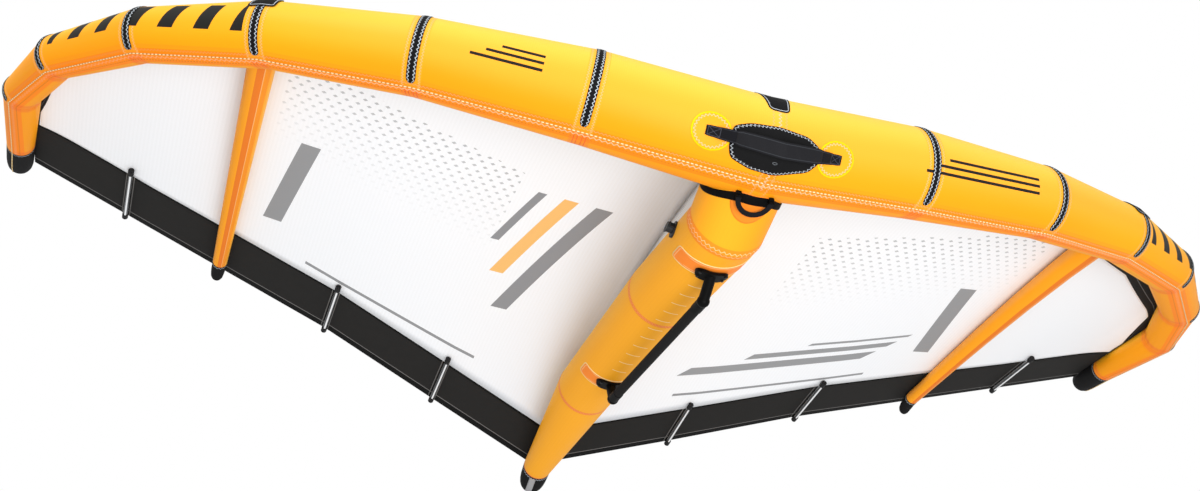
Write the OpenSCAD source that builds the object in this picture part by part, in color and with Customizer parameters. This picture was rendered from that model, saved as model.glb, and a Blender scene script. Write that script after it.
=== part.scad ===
// Inflatable hand wing for foil boarding, in its flying attitude.
// X runs along the span, Y runs aft and Z is up. The origin is the middle of the boom grip.

/* [Leading edge] */
// Tube diameter at each seam, from the centre outwards
le_d = [300, 278, 232, 197, 167, 141, 122, 92]; // [80:1:340]
// Length of each tube panel, from the centre outwards
le_len = [515, 490, 460, 415, 385, 285, 392]; // [200:5:600]
// Sweep angle of each tube panel
le_sweep = [5, 8, 21.5, 32.5, 48.5, 68.5, 88.5]; // [0:0.5:89]
// Climb angle of each tube panel
le_climb = [8, 6.5, 10, 8.5, 8, 4.5, 7]; // [0:0.5:15]
// Length of each tip cap
tip_cap_len = 185; // [100:5:220]
// Thickness of the tube casings
casing_wall = 1.5; // [1:0.1:3]
// Thickness of the bladders
bladder_wall = 1; // [0.6:0.1:2]
// Width of the tapes over the tube seams
tape_w = 27; // [16:1:44]
// Thickness of tapes, patches and scuff pads
tape_t = 1.5; // [1:0.1:3]
// Width of each scuff pad along the span
scuff_w = 88; // [40:2:140]

/* [Handle] */
// Length of the pad under the front handle
pad_len = 254; // [200:2:320]
// Angle round the tube that the pad covers
pad_arc = 54; // [30:1:80]
// Thickness of the pad at its crown
pad_t = 14; // [8:1:25]
// Length of the handle strap between its sewn ends
strap_len = 394; // [300:2:480]
// Width of the strap's padded middle
strap_w = 42; // [30:1:60]
// Thickness of the strap
strap_t = 5; // [3:0.5:8]
// Finger room between pad and strap
finger_gap = 44; // [25:1:60]
// Diameter of the round patch under each strap end
patch_d = 104; // [60:2:140]
// Angle of the handle below the tube's front
handle_low = 35; // [10:1:60]

/* [Canopy] */
// Thickness of the canopy cloth
cloth_t = 2; // [1:0.1:4]
// Angle of the canopy seam above the back of the tube, at the centre
seam_root = 65; // [40:1:80]
// Angle of the canopy seam above the back of the tube, at the tips
seam_tip = 35; // [20:1:60]
// Slope of the canopy where it leaves the tube
canopy_rise = 0.15; // [0.05:0.01:0.3]
// Slope of the canopy down to the trailing edge, at the centre
canopy_fall = 0.28; // [0.1:0.01:0.4]
// Trailing edge corner places across the span
te_x = [0, 490, 960, 2081]; // [0:1:2200]
// Trailing edge corner places behind the nose
te_y = [2355, 2116, 1914, 1580]; // [1300:2:2500]
// Trailing edge corner heights over the nose
te_z = [-45, 52, 162, 417]; // [-80:1:500]
// Width of the trailing edge band at the centre
band_w_root = 218; // [100:2:280]
// Width of the trailing edge band at the tips
band_w_tip = 278; // [150:2:340]
// Places of the battens across the span
batten_x = [491, 963, 1747]; // [300:1:1900]
// Lengths of the battens
batten_len = [273, 290, 314]; // [150:1:400]
// Diameter of a batten
batten_d = 16; // [8:0.5:20]

/* [Centre strut] */
// Distance of each strut ring behind the nose
strut_y = [34, 254, 812, 1640, 2280]; // [0:1:2400]
// Height of each strut ring over the nose
strut_z = [-14, -117, -58, -25, -85]; // [-160:1:40]
// Diameter of each strut ring
strut_d = [246, 238, 234, 212, 110]; // [90:1:260]
// Length of the tail cap
tail_cap_len = 120; // [60:2:150]
// Angle by which the tail cap droops
tail_cap_droop = 25; // [0:1:40]
// Thickness of the web between strut and canopy
web_t = 3; // [2:0.5:6]
// Width of the trim band where strut and tube meet
trim_w = 20; // [8:1:24]
// Thickness of the trim band
trim_t = 3; // [2:0.5:5]
// Middle radius of the leash loop
loop_r = 50; // [30:1:60]
// Width of the leash loop's webbing
loop_w = 16; // [10:1:25]
// Thickness of the leash loop's webbing
loop_t = 4; // [2:0.5:6]
// Angle between the leash loop and the strut
loop_lift = 4; // [3:1:40]

/* [Side struts] */
// Station of the side struts along the tube, in panels
side_s = 3.05; // [3.04:0.01:3.3]
// How far the front of a side strut lies outboard of its tail, in panels
side_toe = 0.06; // [0:0.01:0.2]
// Diameter of a side strut at the front
side_d_front = 90; // [60:1:110]
// Diameter of a side strut at the tail
side_d_tail = 51; // [30:1:64]
// Distance of a side strut's tail ahead of the trailing edge
side_short = 86; // [40:2:120]
// Length of a side strut's end cap
side_cap_len = 85; // [40:1:110]
// Bore of the air hoses
hose_bore = 12; // [6:1:16]

/* [Boom] */
// Distance of the grip's middle behind the nose
boom_back = 869; // [830:1:910]
// Distance of the grip's middle below the nose
boom_drop = 250; // [240:1:270]
// Length of the boom between its elbows
boom_len = 868; // [820:4:900]
// Upward tilt of the boom towards the tail
boom_tilt = 4; // [2:0.5:6]
// Outside diameter of the boom tube
boom_d = 28; // [24:0.5:32]
// Wall of the boom tube
boom_wall = 2; // [1:0.25:4]
// Outside diameter of the grip
grip_d = 33; // [31:0.5:40]
// Diameter of the boom legs
leg_d = 34; // [30:0.5:35]
// Distance of the front base plate behind the nose
plate_front = 359; // [340:1:380]
// Distance of the rear base plate behind the nose
plate_rear = 1335; // [1305:1:1365]
// Width of a base plate across the strut
plate_w = 104; // [80:2:130]
// Length of a base plate along the strut
plate_len = 54; // [44:1:70]
// Thickness of a base plate
plate_t = 9; // [6:1:15]
// Thread diameter of the base plate screws
screw_d = 5; // [3:0.5:6]

/* [Inflation valve] */
// Distance of the valve behind the nose
valve_back = 396; // [340:2:460]
// Angle of the valve above the strut's left side
valve_high = 12; // [8:1:40]
// Diameter of the pump inlet
inlet_d = 21; // [18:0.5:24]
// Depth of the pump inlet
inlet_depth = 8; // [6:0.5:10]
// Outside diameter of the valve body
valve_d = 30; // [28:0.5:36]
// Diameter of the valve flange
flange_d = 54; // [44:1:64]
// Travel of the valve pin
pin_travel = 4; // [2:0.5:5]

/* [Hidden] */
$fn = 64;

// Clear distances: between sewn layers, between seated parts and in running fits
gap = 0.3;
seat = 0.2;
running = 0.05;

// Counts of sides and steps in the lofted shells
tube_sides = 32;
bladder_sides = 16;
canopy_rows = 8;
ribs_per_panel = 2;

// Colours of the cloths and fittings
yellow = [1.0, 0.72, 0.16];
orange = [0.95, 0.63, 0.18];
flame = [0.95, 0.47, 0.18];
white = [0.97, 0.97, 0.97];
black = [0.09, 0.09, 0.1];
charcoal = [0.16, 0.15, 0.15];
grey = [0.6, 0.62, 0.64];
clear_film = [0.8, 0.85, 0.9];

// The nose is the centre of the tube at midspan, where all airframe places start
nose = [0, -boom_back, boom_drop];

function lerp(a, b, f) = a + (b - a) * f;
function unit(v) = v / norm(v);
function mirror_x(p) = [-p.x, p.y, p.z];
function steps(a, b, n) = [for (k = [0:n]) lerp(a, b, k / n)];

// Leading edge tube: station i is the seam at the inner end of panel i
panels = len(le_len);
le_dir = [for (i = [0:panels - 1])
  [cos(le_climb[i]) * cos(le_sweep[i]), cos(le_climb[i]) * sin(le_sweep[i]), sin(le_climb[i])]];
function le_sum(i) = i == 0 ? [0, 0, 0] : le_sum(i - 1) + le_len[i - 1] * le_dir[i - 1];
le_c = [for (i = [0:panels]) le_sum(i)];
le_normal = [for (i = [0:panels])
  i == 0 ? [1, 0, 0] : i == panels ? le_dir[i - 1] : unit(le_dir[i - 1] + le_dir[i])];
le_in = [for (n = le_normal) unit(cross([0, 0, 1], n))];
le_up = [for (i = [0:panels]) cross(le_normal[i], le_in[i])];

// Point on seam ring i: angle 0 faces inboard, 90 up, 180 forward and 270 down
function le_ring_pt(i, a, lift) =
  le_c[i] + (le_d[i] / 2 + lift) * (cos(a) * le_in[i] + sin(a) * le_up[i]);
function le_pt(s, a, lift) =
  let (i = min(floor(s), panels - 1)) lerp(le_ring_pt(i, a, lift), le_ring_pt(i + 1, a, lift), s - i);
// The same point for a station that is negative on the left side
function le_at(s, a, lift) = s < 0 ? mirror_x(le_pt(-s, a, lift)) : le_pt(s, a, lift);
function le_ring(s, lift, sides) = [for (j = [0:sides - 1]) le_at(s, 360 * j / sides, lift)];
// Station that lies x from midspan, within the middle panels
function le_station(x) = x / le_c[1].x;

// Centre strut: rings in the plane of symmetry, with angle 0 to the left and 90 up
rings = len(strut_y);
strut_c = [for (k = [0:rings - 1]) [0, strut_y[k], strut_z[k]]];
strut_dir = [for (k = [0:rings - 2]) unit(strut_c[k + 1] - strut_c[k])];
strut_n = [for (k = [0:rings - 1]) k == 0 ? strut_dir[0]
  : k == rings - 1 ? strut_dir[k - 1] : unit(strut_dir[k - 1] + strut_dir[k])];
function strut_up(n) = [0, -n.z, n.y];
function strut_ring_pt(k, a, lift) =
  strut_c[k] + (strut_d[k] / 2 + lift) * (sin(a) * strut_up(strut_n[k]) - [cos(a), 0, 0]);
function strut_ring(k, lift, sides) = [for (j = [0:sides - 1]) strut_ring_pt(k, 360 * j / sides, lift)];
// Ring number at a distance behind the nose, and a point of the strut's skin there
function strut_at_y(y) = lookup(y, [for (k = [0:rings - 1]) [strut_y[k], k]]);
function strut_pt(s, a, lift) = let (k = min(floor(s), rings - 2))
  lerp(strut_ring_pt(k, a, lift), strut_ring_pt(k + 1, a, lift), s - k);
function strut_axis(s) = let (k = min(floor(s), rings - 2)) lerp(strut_c[k], strut_c[k + 1], s - k);
function strut_r(s) = let (k = min(floor(s), rings - 2)) lerp(strut_d[k], strut_d[k + 1], s - k) / 2;
// A point square off the strut's axis, for the fittings that sit on it
function cone_pt(s, a, lift) = strut_axis(s)
  + (strut_r(s) + lift) * (sin(a) * strut_up(strut_dir[floor(s)]) - [cos(a), 0, 0]);

// Canopy: ribs run aft from the seam on the tube to the trailing edge
function seam_angle(s) = lerp(seam_root, seam_tip, s / panels);
seam = [for (i = [0:panels]) le_ring_pt(i, seam_angle(i), gap)];
function seam_pt(s) = let (i = min(floor(s), panels - 1)) lerp(seam[i], seam[i + 1], s - i);
te_tip = len(te_x) - 1;
function te_pt(x) = let (u = min(x, te_x[te_tip]))
  [u, lookup(u, [for (k = [0:te_tip]) [te_x[k], te_y[k]]]),
   lookup(u, [for (k = [0:te_tip]) [te_x[k], te_z[k]]])];
// The camber fades out towards the tips
fall_end = 0.8;
function seam_slope(x) = canopy_rise * max(0, 1 - x / te_x[te_tip]);
function te_slope(x) = -canopy_fall * max(0, 1 - x / (fall_end * te_x[te_tip]));
function hermite(t, a, b, run, slope_a, slope_b) =
  a * (2 * t ^ 3 - 3 * t ^ 2 + 1) + b * (3 * t ^ 2 - 2 * t ^ 3)
  + run * (slope_a * (t ^ 3 - 2 * t ^ 2 + t) + slope_b * (t ^ 3 - t ^ 2));
function rib(s, t) = let (a = seam_pt(s), e = te_pt(a.x))
  [lerp(a.x, e.x, t), lerp(a.y, e.y, t), hermite(t, a.z, e.z, e.y - a.y, seam_slope(a.x), te_slope(a.x))];
function rib_at_y(s, y) = let (a = seam_pt(s), e = te_pt(a.x)) rib(s, (y - a.y) / (e.y - a.y));
// Station of the rib that lies x from midspan
function rib_station(x) = lookup(x, [for (i = [0:panels]) [seam[i].x, i]]);
// Part of a rib ahead of the trailing edge band, and part taken by the dark tip panel
function band_w(x) = lerp(band_w_root, band_w_tip, min(1, x / te_x[te_tip]));
function band_front(s) = let (a = seam_pt(s), e = te_pt(a.x)) max(0, 1 - band_w(a.x) / (e.y - a.y));
tip_panel_from = 3;
tip_panel_first = 3.02;
tip_panel_full = 3.1;
canopy_to = 5.97;
tip_panel_share = [
  [tip_panel_from, 0], [tip_panel_full, 0.12], [4, 0.16], [5, 0.2], [5.5, 0.11],
  [canopy_to, 0.65], [6, 1], [7, 1]
];
function tip_panel_t(s) = lookup(s, tip_panel_share) * band_front(s);

// Closed solids from rings or grids of points
function quad(a, b, c, d) = [[a, b, c], [a, c, d]];
function flat(list) = [for (group = list) each group];
function side_faces(rows, n, from, turned) = flat([for (k = [0:rows - 2], j = [0:n - 1])
  let (a = from + k * n, b = a + n, j1 = (j + 1) % n)
  turned ? quad(a + j, a + j1, b + j1, b + j) : quad(a + j, b + j, b + j1, a + j1)]);
function fan(from, n, turned) = [for (j = [1:n - 2])
  turned ? [from, from + j + 1, from + j] : [from, from + j, from + j + 1]];
function ring_faces(outer, inner, n, turned) = flat([for (j = [0:n - 1]) let (j1 = (j + 1) % n)
  turned ? quad(outer + j, inner + j, inner + j1, outer + j1)
    : quad(outer + j, outer + j1, inner + j1, inner + j)]);

// A closed solid through a list of rings
module loft(list) {
  n = len(list[0]);
  rows = len(list);
  polyhedron(flat(list), concat(
    side_faces(rows, n, 0, false), fan(0, n, false), fan((rows - 1) * n, n, true)));
}

// A tube with open ends between two lists of rings
module shell(outer, inner) {
  n = len(outer[0]);
  rows = len(outer);
  m = rows * n;
  last = (rows - 1) * n;
  polyhedron(flat(concat(outer, inner)), concat(
    side_faces(rows, n, 0, false), side_faces(rows, n, m, true),
    ring_faces(0, m, n, false), ring_faces(last, m + last, n, true)));
}

// A thin solid between an upper and a lower grid of points
module slab(top, bottom) {
  rows = len(top);
  n = len(top[0]);
  m = rows * n;
  grid = [for (r = [0:rows - 2], c = [0:n - 2]) r * n + c];
  polyhedron(flat(concat(top, bottom)), concat(
    flat([for (p = grid) quad(p, p + 1, p + n + 1, p + n)]),
    flat([for (p = grid) quad(m + p, m + p + n, m + p + n + 1, m + p + 1)]),
    flat([for (c = [0:n - 2]) quad(c, m + c, m + c + 1, c + 1)]),
    flat([for (c = [0:n - 2]) let (p = (rows - 1) * n + c) quad(p + 1, m + p + 1, m + p, p)]),
    flat([for (r = [0:rows - 2]) let (p = r * n) quad(p + n, m + p + n, m + p, p)]),
    flat([for (r = [0:rows - 2]) let (p = r * n + n - 1) quad(p, m + p, m + p + n, p + n)])));
}

// Helpers for places and straight round bars
module at_nose() { translate(nose) children(); }
module both_sides() { children(); mirror([1, 0, 0]) children(); }
module on_side(side) { if (side < 0) mirror([1, 0, 0]) children(); else children(); }
module aim(from, to) {
  v = to - from;
  translate(from) rotate([0, acos(v.z / norm(v)), atan2(v.y, v.x)]) children();
}
module bar(from, to, r) { aim(from, to) cylinder(h = norm(to - from), r = r); }

// Solids that other pieces are cut by
module le_solid(from, to, lift) { loft([for (s = [from:to]) le_ring(s, lift, tube_sides)]); }
module strut_cone(k, lift) {
  run = norm(strut_c[k + 1] - strut_c[k]);
  aim(strut_c[k], strut_c[k + 1])
    cylinder(h = run, r1 = strut_d[k] / 2 + lift, r2 = strut_d[k + 1] / 2 + lift, $fn = 96);
}

// Air hoses join the strut bladders to the tube bladder
hose_wall = 2;
hose_r = hose_bore / 2 + hose_wall;
hose_x = 40;
hose_reach = 40;
hose_angle = -24;
side_hose_angle = 12;
hose_s = le_station(hose_x);
centre_hose = [le_pt(hose_s, hose_angle, -hose_reach), le_pt(hose_s, hose_angle, hose_reach)];
side_front = side_s + side_toe;
side_hose = [for (lift = [-hose_reach / 2, hose_reach]) le_pt(side_front, side_hose_angle, lift)];
module hose_hole(pair) { bar(pair[0], pair[1], hose_r + gap); }

module le_panel(number, side) {
  i = number - 1;
  color(yellow) at_nose() difference() {
    on_side(side) shell(
      [le_ring(i, 0, tube_sides), le_ring(i + 1, 0, tube_sides)],
      [le_ring(i, -casing_wall, tube_sides), le_ring(i + 1, -casing_wall, tube_sides)]);
    if (number == 1 && side > 0) hose_hole(centre_hose);
    if (number == ceil(side_front)) on_side(side) hose_hole(side_hose);
  }
}

// The tip caps close the tube with a rounded end
cap_steps = [0, 0.6, 0.85, 0.96, 1];
cap_shape = [1, 0.98, 0.9, 0.7, 0.35];
module le_tip_cap(side) {
  axis = le_dir[panels - 1];
  function cap_ring(f, scale_r, lift) = [for (j = [0:tube_sides - 1]) let (a = 360 * j / tube_sides)
    le_c[panels] + axis * (seat + f * tip_cap_len)
    + (le_d[panels] / 2 * scale_r + lift) * (cos(a) * le_in[panels] + sin(a) * le_up[panels])];
  inner_reach = 0.97;
  color(black) at_nose() on_side(side) difference() {
    loft([for (k = [0:len(cap_steps) - 1]) cap_ring(cap_steps[k], cap_shape[k], 0)]);
    loft(concat([cap_ring(-0.01, 1, -casing_wall)],
      [for (k = [1:len(cap_steps) - 2]) cap_ring(cap_steps[k] * inner_reach, cap_shape[k], -casing_wall)]));
  }
}

// Tapes run from above the front seam line over the tube to the canopy seam, side by side with its facets
tape_from = 22;
tape_clear = 12;
facet = 360 / tube_sides;
module le_seam_tapes() {
  color(black) at_nose() both_sides() for (i = [1:panels - 1]) {
    edge = [i - tape_w / 2 / le_len[i - 1], i, i + tape_w / 2 / le_len[i]];
    arc = [for (j = [tape_from:-1:ceil((seam_angle(i) + tape_clear) / facet)]) j * facet];
    slab(
      [for (s = edge) [for (a = arc) le_pt(s, a, gap + tape_t)]],
      [for (s = edge) [for (a = arc) le_pt(s, a, gap)]]);
  }
}

module le_bladder() {
  outer = -(casing_wall + gap);
  inner = outer - bladder_wall;
  end = panels - 0.01;
  inner_stations = concat([-end], [for (i = [1 - panels:panels - 1]) i], [end]);
  color(clear_film) at_nose() difference() {
    loft([for (s = [-panels:panels]) le_ring(s, outer, bladder_sides)]);
    loft([for (s = inner_stations) le_ring(s, inner, bladder_sides)]);
    hose_hole(centre_hose);
    both_sides() hose_hole(side_hose);
  }
}

// Scuff pads at midspan and at the third seam
scuff_arc = [15, 10];
module scuff(s_from, s_to, lift) {
  arc = [for (j = [scuff_arc[0]:-1:scuff_arc[1]]) j * facet];
  edge = s_from < 0 ? [s_from, 0, s_to] : [s_from, floor(s_to), s_to];
  slab(
    [for (s = edge) [for (a = arc) le_at(s, a, lift + tape_t)]],
    [for (s = edge) [for (a = arc) le_at(s, a, lift)]]);
}
module le_scuff_pads() {
  half = le_station(scuff_w / 2);
  over_tape = gap + tape_t + gap;
  color(charcoal) at_nose() {
    scuff(-half, half, gap);
    both_sides() scuff(3 - scuff_w / 2 / le_len[2], 3 + scuff_w / 2 / le_len[3], over_tape);
  }
}

// Front handle: places are given by x from midspan and by the angle round the tube
handle_a = 180 + handle_low;
function across(w) = w / (le_d[0] / 2) * 180 / PI;
pad_steps = 8;
pad_edge = 2;
pad_taper = 0.55;
module handle_pad() {
  half = pad_len / 2;
  u_list = steps(-1, 1, pad_steps);
  v_list = steps(1, -1, pad_steps);
  function pad_a(u, v) = handle_a + v * pad_arc / 2 * (1 - pad_taper * u * u);
  function crown(u, v) = pad_edge + (pad_t - pad_edge) * (1 - u * u) * (1 - v * v);
  color(black) at_nose() slab(
    [for (u = u_list) [for (v = v_list) le_at(le_station(u * half), pad_a(u, v), gap + crown(u, v))]],
    [for (u = u_list) [for (v = v_list) le_at(le_station(u * half), pad_a(u, v), gap)]]);
}

// The strap is sewn down at its ends, bows out between them and has a wider sleeve in its middle
strap_end = 0.74;
strap_sleeve = 0.6;
strap_sewn = 0.12;
strap_bow = 2.6;
strap_steps = 16;
function strap_lift(u) = let (low = gap + tape_t + gap, high = gap + pad_t + finger_gap)
  low + (high - low) * (1 - min(1, abs(u) / (1 - strap_sewn)) ^ strap_bow);
function strap_half(u) = strap_w / 2 * (abs(u) > strap_sleeve ? strap_end : 1);
module handle_strap() {
  u_list = steps(-1, 1, strap_steps);
  v_list = [1, 0, -1];
  function strap_pt(u, v, lift) =
    le_at(le_station(u * strap_len / 2), handle_a + across(v * strap_half(u)), strap_lift(u) + lift);
  color(charcoal) at_nose() slab(
    [for (u = u_list) [for (v = v_list) strap_pt(u, v, strap_t)]],
    [for (u = u_list) [for (v = v_list) strap_pt(u, v, 0)]]);
}

patch_x = 181;
module handle_patches() {
  r = patch_d / 2;
  first = -0.96;
  v_list = steps(1, -1, pad_steps);
  pad_shadow = pad_len / 2 + gap;
  u_list = [for (w = steps(first, -first, pad_steps)) if (patch_x + w * r > pad_shadow - r / 4) w];
  function patch_pt(u, v, lift) = let (x = max(patch_x + u * r, pad_shadow))
    le_pt(le_station(x), handle_a + across(v * r * sqrt(1 - u * u)), lift);
  color(yellow) at_nose() both_sides() slab(
    [for (u = u_list) [for (v = v_list) patch_pt(u, v, gap + tape_t)]],
    [for (u = u_list) [for (v = v_list) patch_pt(u, v, gap)]]);
}

// Cloth over the ribs between two stations, from one part of each rib to another
module cloth(stations, rows, share) {
  up = [0, 0, cloth_t];
  bottom = [for (s = stations) [for (f = steps(0, 1, rows)) rib(s, lerp(share(s)[0], share(s)[1], f))]];
  slab([for (row = bottom) [for (p = row) p + up]], bottom);
}
rib_steps = steps(0, panels, panels * ribs_per_panel);
rib_list = concat(
  [for (s = rib_steps) if (s <= tip_panel_from) s], [tip_panel_first, tip_panel_full],
  [for (s = rib_steps) if (s > tip_panel_full && s < canopy_to) s], [canopy_to],
  [for (s = rib_steps) if (s > canopy_to) s]);

module canopy(side) {
  stations = [for (s = rib_list) if (s <= canopy_to) s];
  color(white) at_nose() on_side(side)
    cloth(stations, canopy_rows, function(s) [tip_panel_t(s), band_front(s)]);
}
module te_band(side) {
  color(charcoal) at_nose() on_side(side) cloth(rib_list, 2, function(s) [band_front(s), 1]);
}
module tip_panel(side) {
  stations = [for (s = rib_list) if (s > tip_panel_from) s];
  color(charcoal) at_nose() on_side(side) cloth(stations, 2, function(s) [0, tip_panel_t(s)]);
}

// Battens lie under the cloth, held by a cap at each end
cap_wall = 2.5;
cap_len = 22;
cloth_sag = 0.6;
batten_low = batten_d / 2 + cap_wall + gap + cloth_sag;
dihedral = 12;
function batten_ends(k) = let (s = rib_station(batten_x[k]), e = te_pt(batten_x[k]))
  [for (y = [e.y - batten_len[k], e.y]) rib_at_y(s, y) - [0, 0, batten_low / cos(dihedral)]];
module battens(side) {
  color(grey) at_nose() on_side(side) for (k = [0:len(batten_x) - 1])
    bar(batten_ends(k)[0], batten_ends(k)[1], batten_d / 2);
}
module batten_end_caps() {
  color(black) at_nose() both_sides() for (k = [0:len(batten_x) - 1]) {
    ends = batten_ends(k);
    way = unit(ends[1] - ends[0]);
    for (end = [[ends[0], way], [ends[1], -way]]) difference() {
      bar(end[0] - cap_wall * end[1], end[0] + cap_len * end[1], batten_d / 2 + cap_wall);
      bar(ends[0], ends[1], batten_d / 2 + seat);
    }
  }
}

// Casing panels of the centre strut
module strut_panel(k) {
  shell([strut_ring(k, 0, tube_sides), strut_ring(k + 1, 0, tube_sides)],
    [strut_ring(k, -casing_wall, tube_sides), strut_ring(k + 1, -casing_wall, tube_sides)]);
}
module strut_nose() {
  color(orange) at_nose() difference() {
    strut_panel(0);
    le_solid(-1, 1, gap);
  }
}
module strut_front() {
  color(orange) at_nose() difference() {
    strut_panel(1);
    at_valve() cylinder(h = 4 * spigot_len, r = spigot_r + gap, center = true);
  }
}
module strut_middle() { color(orange) at_nose() strut_panel(2); }
module strut_tail() { color(orange) at_nose() strut_panel(3); }

module strut_bladder() {
  outer = -(casing_wall + gap);
  inner = outer - bladder_wall;
  inset = 0.02;
  ends = [inset, rings - 1 - inset];
  function ring(s, lift) = [for (j = [0:bladder_sides - 1]) strut_pt(s, 360 * j / bladder_sides, lift)];
  color(clear_film) at_nose() difference() {
    loft([for (s = [0:rings - 1]) ring(s, outer)]);
    loft([for (s = concat([ends[0]], [for (k = [1:rings - 2]) k], [ends[1]])) ring(s, inner)]);
    le_solid(-1, 1, gap + casing_wall);
    hose_hole(centre_hose);
    at_valve() cylinder(h = 6 * spigot_len, r = spigot_r + gap, center = true);
  }
}

tail_steps = [0, 0.45, 0.75, 0.92, 1];
tail_shape = [1, 0.95, 0.82, 0.6, 0.3];
module strut_tail_cap() {
  way = [0, cos(tail_cap_droop), -sin(tail_cap_droop)];
  last = rings - 1;
  function cap_ring(f, scale_r, turn) = let (n = unit(lerp(strut_n[last], way, turn)))
    [for (j = [0:tube_sides - 1]) let (a = 360 * j / tube_sides)
      strut_c[last] + strut_n[last] * seat + way * f * tail_cap_len
      + strut_d[last] / 2 * scale_r * (sin(a) * strut_up(n) - [cos(a), 0, 0])];
  color(black) at_nose()
    loft([for (k = [0:len(tail_steps) - 1]) cap_ring(tail_steps[k], tail_shape[k], tail_steps[k])]);
}

// The web is a flat keel of cloth from the strut's top to the canopy's middle
web_rows = concat([for (f = steps(0, 1, canopy_rows)) f * band_front(0)],
  [for (f = [0.5, 1]) lerp(band_front(0), 1, f)]);
// Angle on the tube where the web's foot clears the trim
web_foot = 36;
module strut_web() {
  arc = [for (a = steps(seam_root - 2, web_foot, 6)) le_ring_pt(0, a, gap)];
  top_line = [for (k = [1:rings - 1]) strut_ring_pt(k, 90, gap)];
  canopy_line = [for (k = [len(web_rows) - 1:-1:0]) rib(0, web_rows[k]) - [0, 0, gap]];
  outline = concat(arc, top_line, canopy_line);
  color(grey) at_nose() rotate([90, 0, 90]) linear_extrude(web_t, center = true)
    polygon([for (p = outline) [p.y, p.z]]);
}

// Trim band round the foot of the strut, with two tabs that carry the leash loop
hinge_out = 8;
hinge_run = 60;
knuckle_r = 4;
knuckle_w = 14;
hinge_mid = strut_c[0] + hinge_run * strut_dir[0] - (strut_d[0] / 2 + hinge_out) * strut_up(strut_dir[0]);
function hinge_end(side) = hinge_mid + [side * loop_r, 0, 0];
module strut_nose_trim() {
  tab_in = 17;
  tab_clear = 2.6;
  down = -strut_up(strut_dir[0]);
  color(black) at_nose() {
    difference() {
      intersection() {
        strut_cone(0, gap + trim_t);
        le_solid(-1, 1, gap + trim_w);
      }
      strut_cone(0, gap);
      le_solid(-1, 1, gap);
    }
    for (side = [-1, 1]) difference() {
      bar(hinge_end(side) - tab_in * down, hinge_end(side) - tab_clear * down, knuckle_w / 3);
      strut_cone(0, gap);
      bar(hinge_end(side) - [knuckle_w, 0, 0], hinge_end(side) + [knuckle_w, 0, 0], knuckle_r + gap);
    }
  }
}

module leash_loop() {
  turn = atan2(-strut_dir[0].z, strut_dir[0].y) + loop_lift;
  color(black) at_nose() translate(hinge_mid) rotate([-turn, 0, 0]) union() {
    rotate_extrude(angle = 180) translate([loop_r - loop_w / 2, -loop_t / 2]) square([loop_w, loop_t]);
    for (side = [-1, 1]) translate([side * loop_r, 0, 0]) rotate([0, 90, 0])
      cylinder(h = loop_w, r = knuckle_r, center = true);
  }
}

// Patches that spread the load of the boom's base plates
patch_facets = 6;
patch_run = 76;
module strut_patches() {
  color(flame) at_nose() for (y = [plate_front, plate_rear]) {
    s_list = [strut_at_y(y - patch_run / 2), strut_at_y(y), strut_at_y(y + patch_run / 2)];
    arc = [for (j = [patch_facets:-1:-patch_facets]) 270 + j * facet];
    slab([for (s = s_list) [for (a = arc) strut_pt(s, a, gap + tape_t)]],
      [for (s = s_list) [for (a = arc) strut_pt(s, a, gap)]]);
  }
}

// Side struts lie under the ribs at one station and are cut to the tube at the front
side_stops = steps(0, 1, 5);
side_film_gap = 1;
side_y_end = te_pt(seam_pt(side_s).x).y - side_short;
function side_r(f) = lerp(side_d_front, side_d_tail, f) / 2;
side_hang = 1.5;
function side_c(f) =
  let (s = lerp(side_front, side_s, f), p = rib_at_y(s, lerp(seam_pt(s).y, side_y_end, f)))
  p - [0, 0, (side_r(f) + gap) / cos(dihedral) + side_hang];
function side_ring(f, lift, sides) = [for (j = [0:sides - 1]) let (a = 360 * j / sides)
  side_c(f) + (side_r(f) + lift) * [-cos(a), 0, sin(a)]];
side_sides = 24;
module side_cut(lift) { le_solid(2, 4, lift); }
module side_strut(side) {
  color(orange) at_nose() on_side(side) difference() {
    shell(
      [for (f = side_stops) side_ring(f, 0, side_sides)],
      [for (f = side_stops) side_ring(f, -casing_wall, side_sides)]);
    side_cut(gap);
  }
}
module side_strut_bladders() {
  outer = -(casing_wall + side_film_gap);
  inner = outer - bladder_wall;
  ends = [0.01, 0.98];
  middle = [for (f = side_stops) if (f > 0 && f < 1) f];
  color(clear_film) at_nose() both_sides() difference() {
    loft([for (f = concat([0], middle, [0.99])) side_ring(f, outer, side_sides)]);
    loft([for (f = concat([ends[0]], middle, [ends[1]])) side_ring(f, inner, side_sides)]);
    side_cut(gap + casing_wall);
    hose_hole(side_hose);
  }
}
module side_strut_cap(side) {
  shape = [1, 0.97, 0.84, 0.5];
  reach = [0, 0.55, 0.87, 1];
  droop = 0.25;
  function cap_ring(k) = [for (j = [0:side_sides - 1]) let (a = 360 * j / side_sides)
    side_c(1) + side_cap_len * reach[k] * [0, 1, -droop * reach[k]] + [0, seat, 0]
    + side_d_tail / 2 * shape[k] * [-cos(a), 0, sin(a)]];
  color(black) at_nose() on_side(side) loft([for (k = [0:len(shape) - 1]) cap_ring(k)]);
}

module hose(pair) {
  difference() {
    bar(pair[0], pair[1], hose_r);
    bar(pair[0] - (pair[1] - pair[0]), pair[1] + (pair[1] - pair[0]), hose_bore / 2);
  }
}
module air_hoses() {
  color(grey) at_nose() {
    hose(centre_hose);
    both_sides() hose(side_hose);
  }
}

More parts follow.
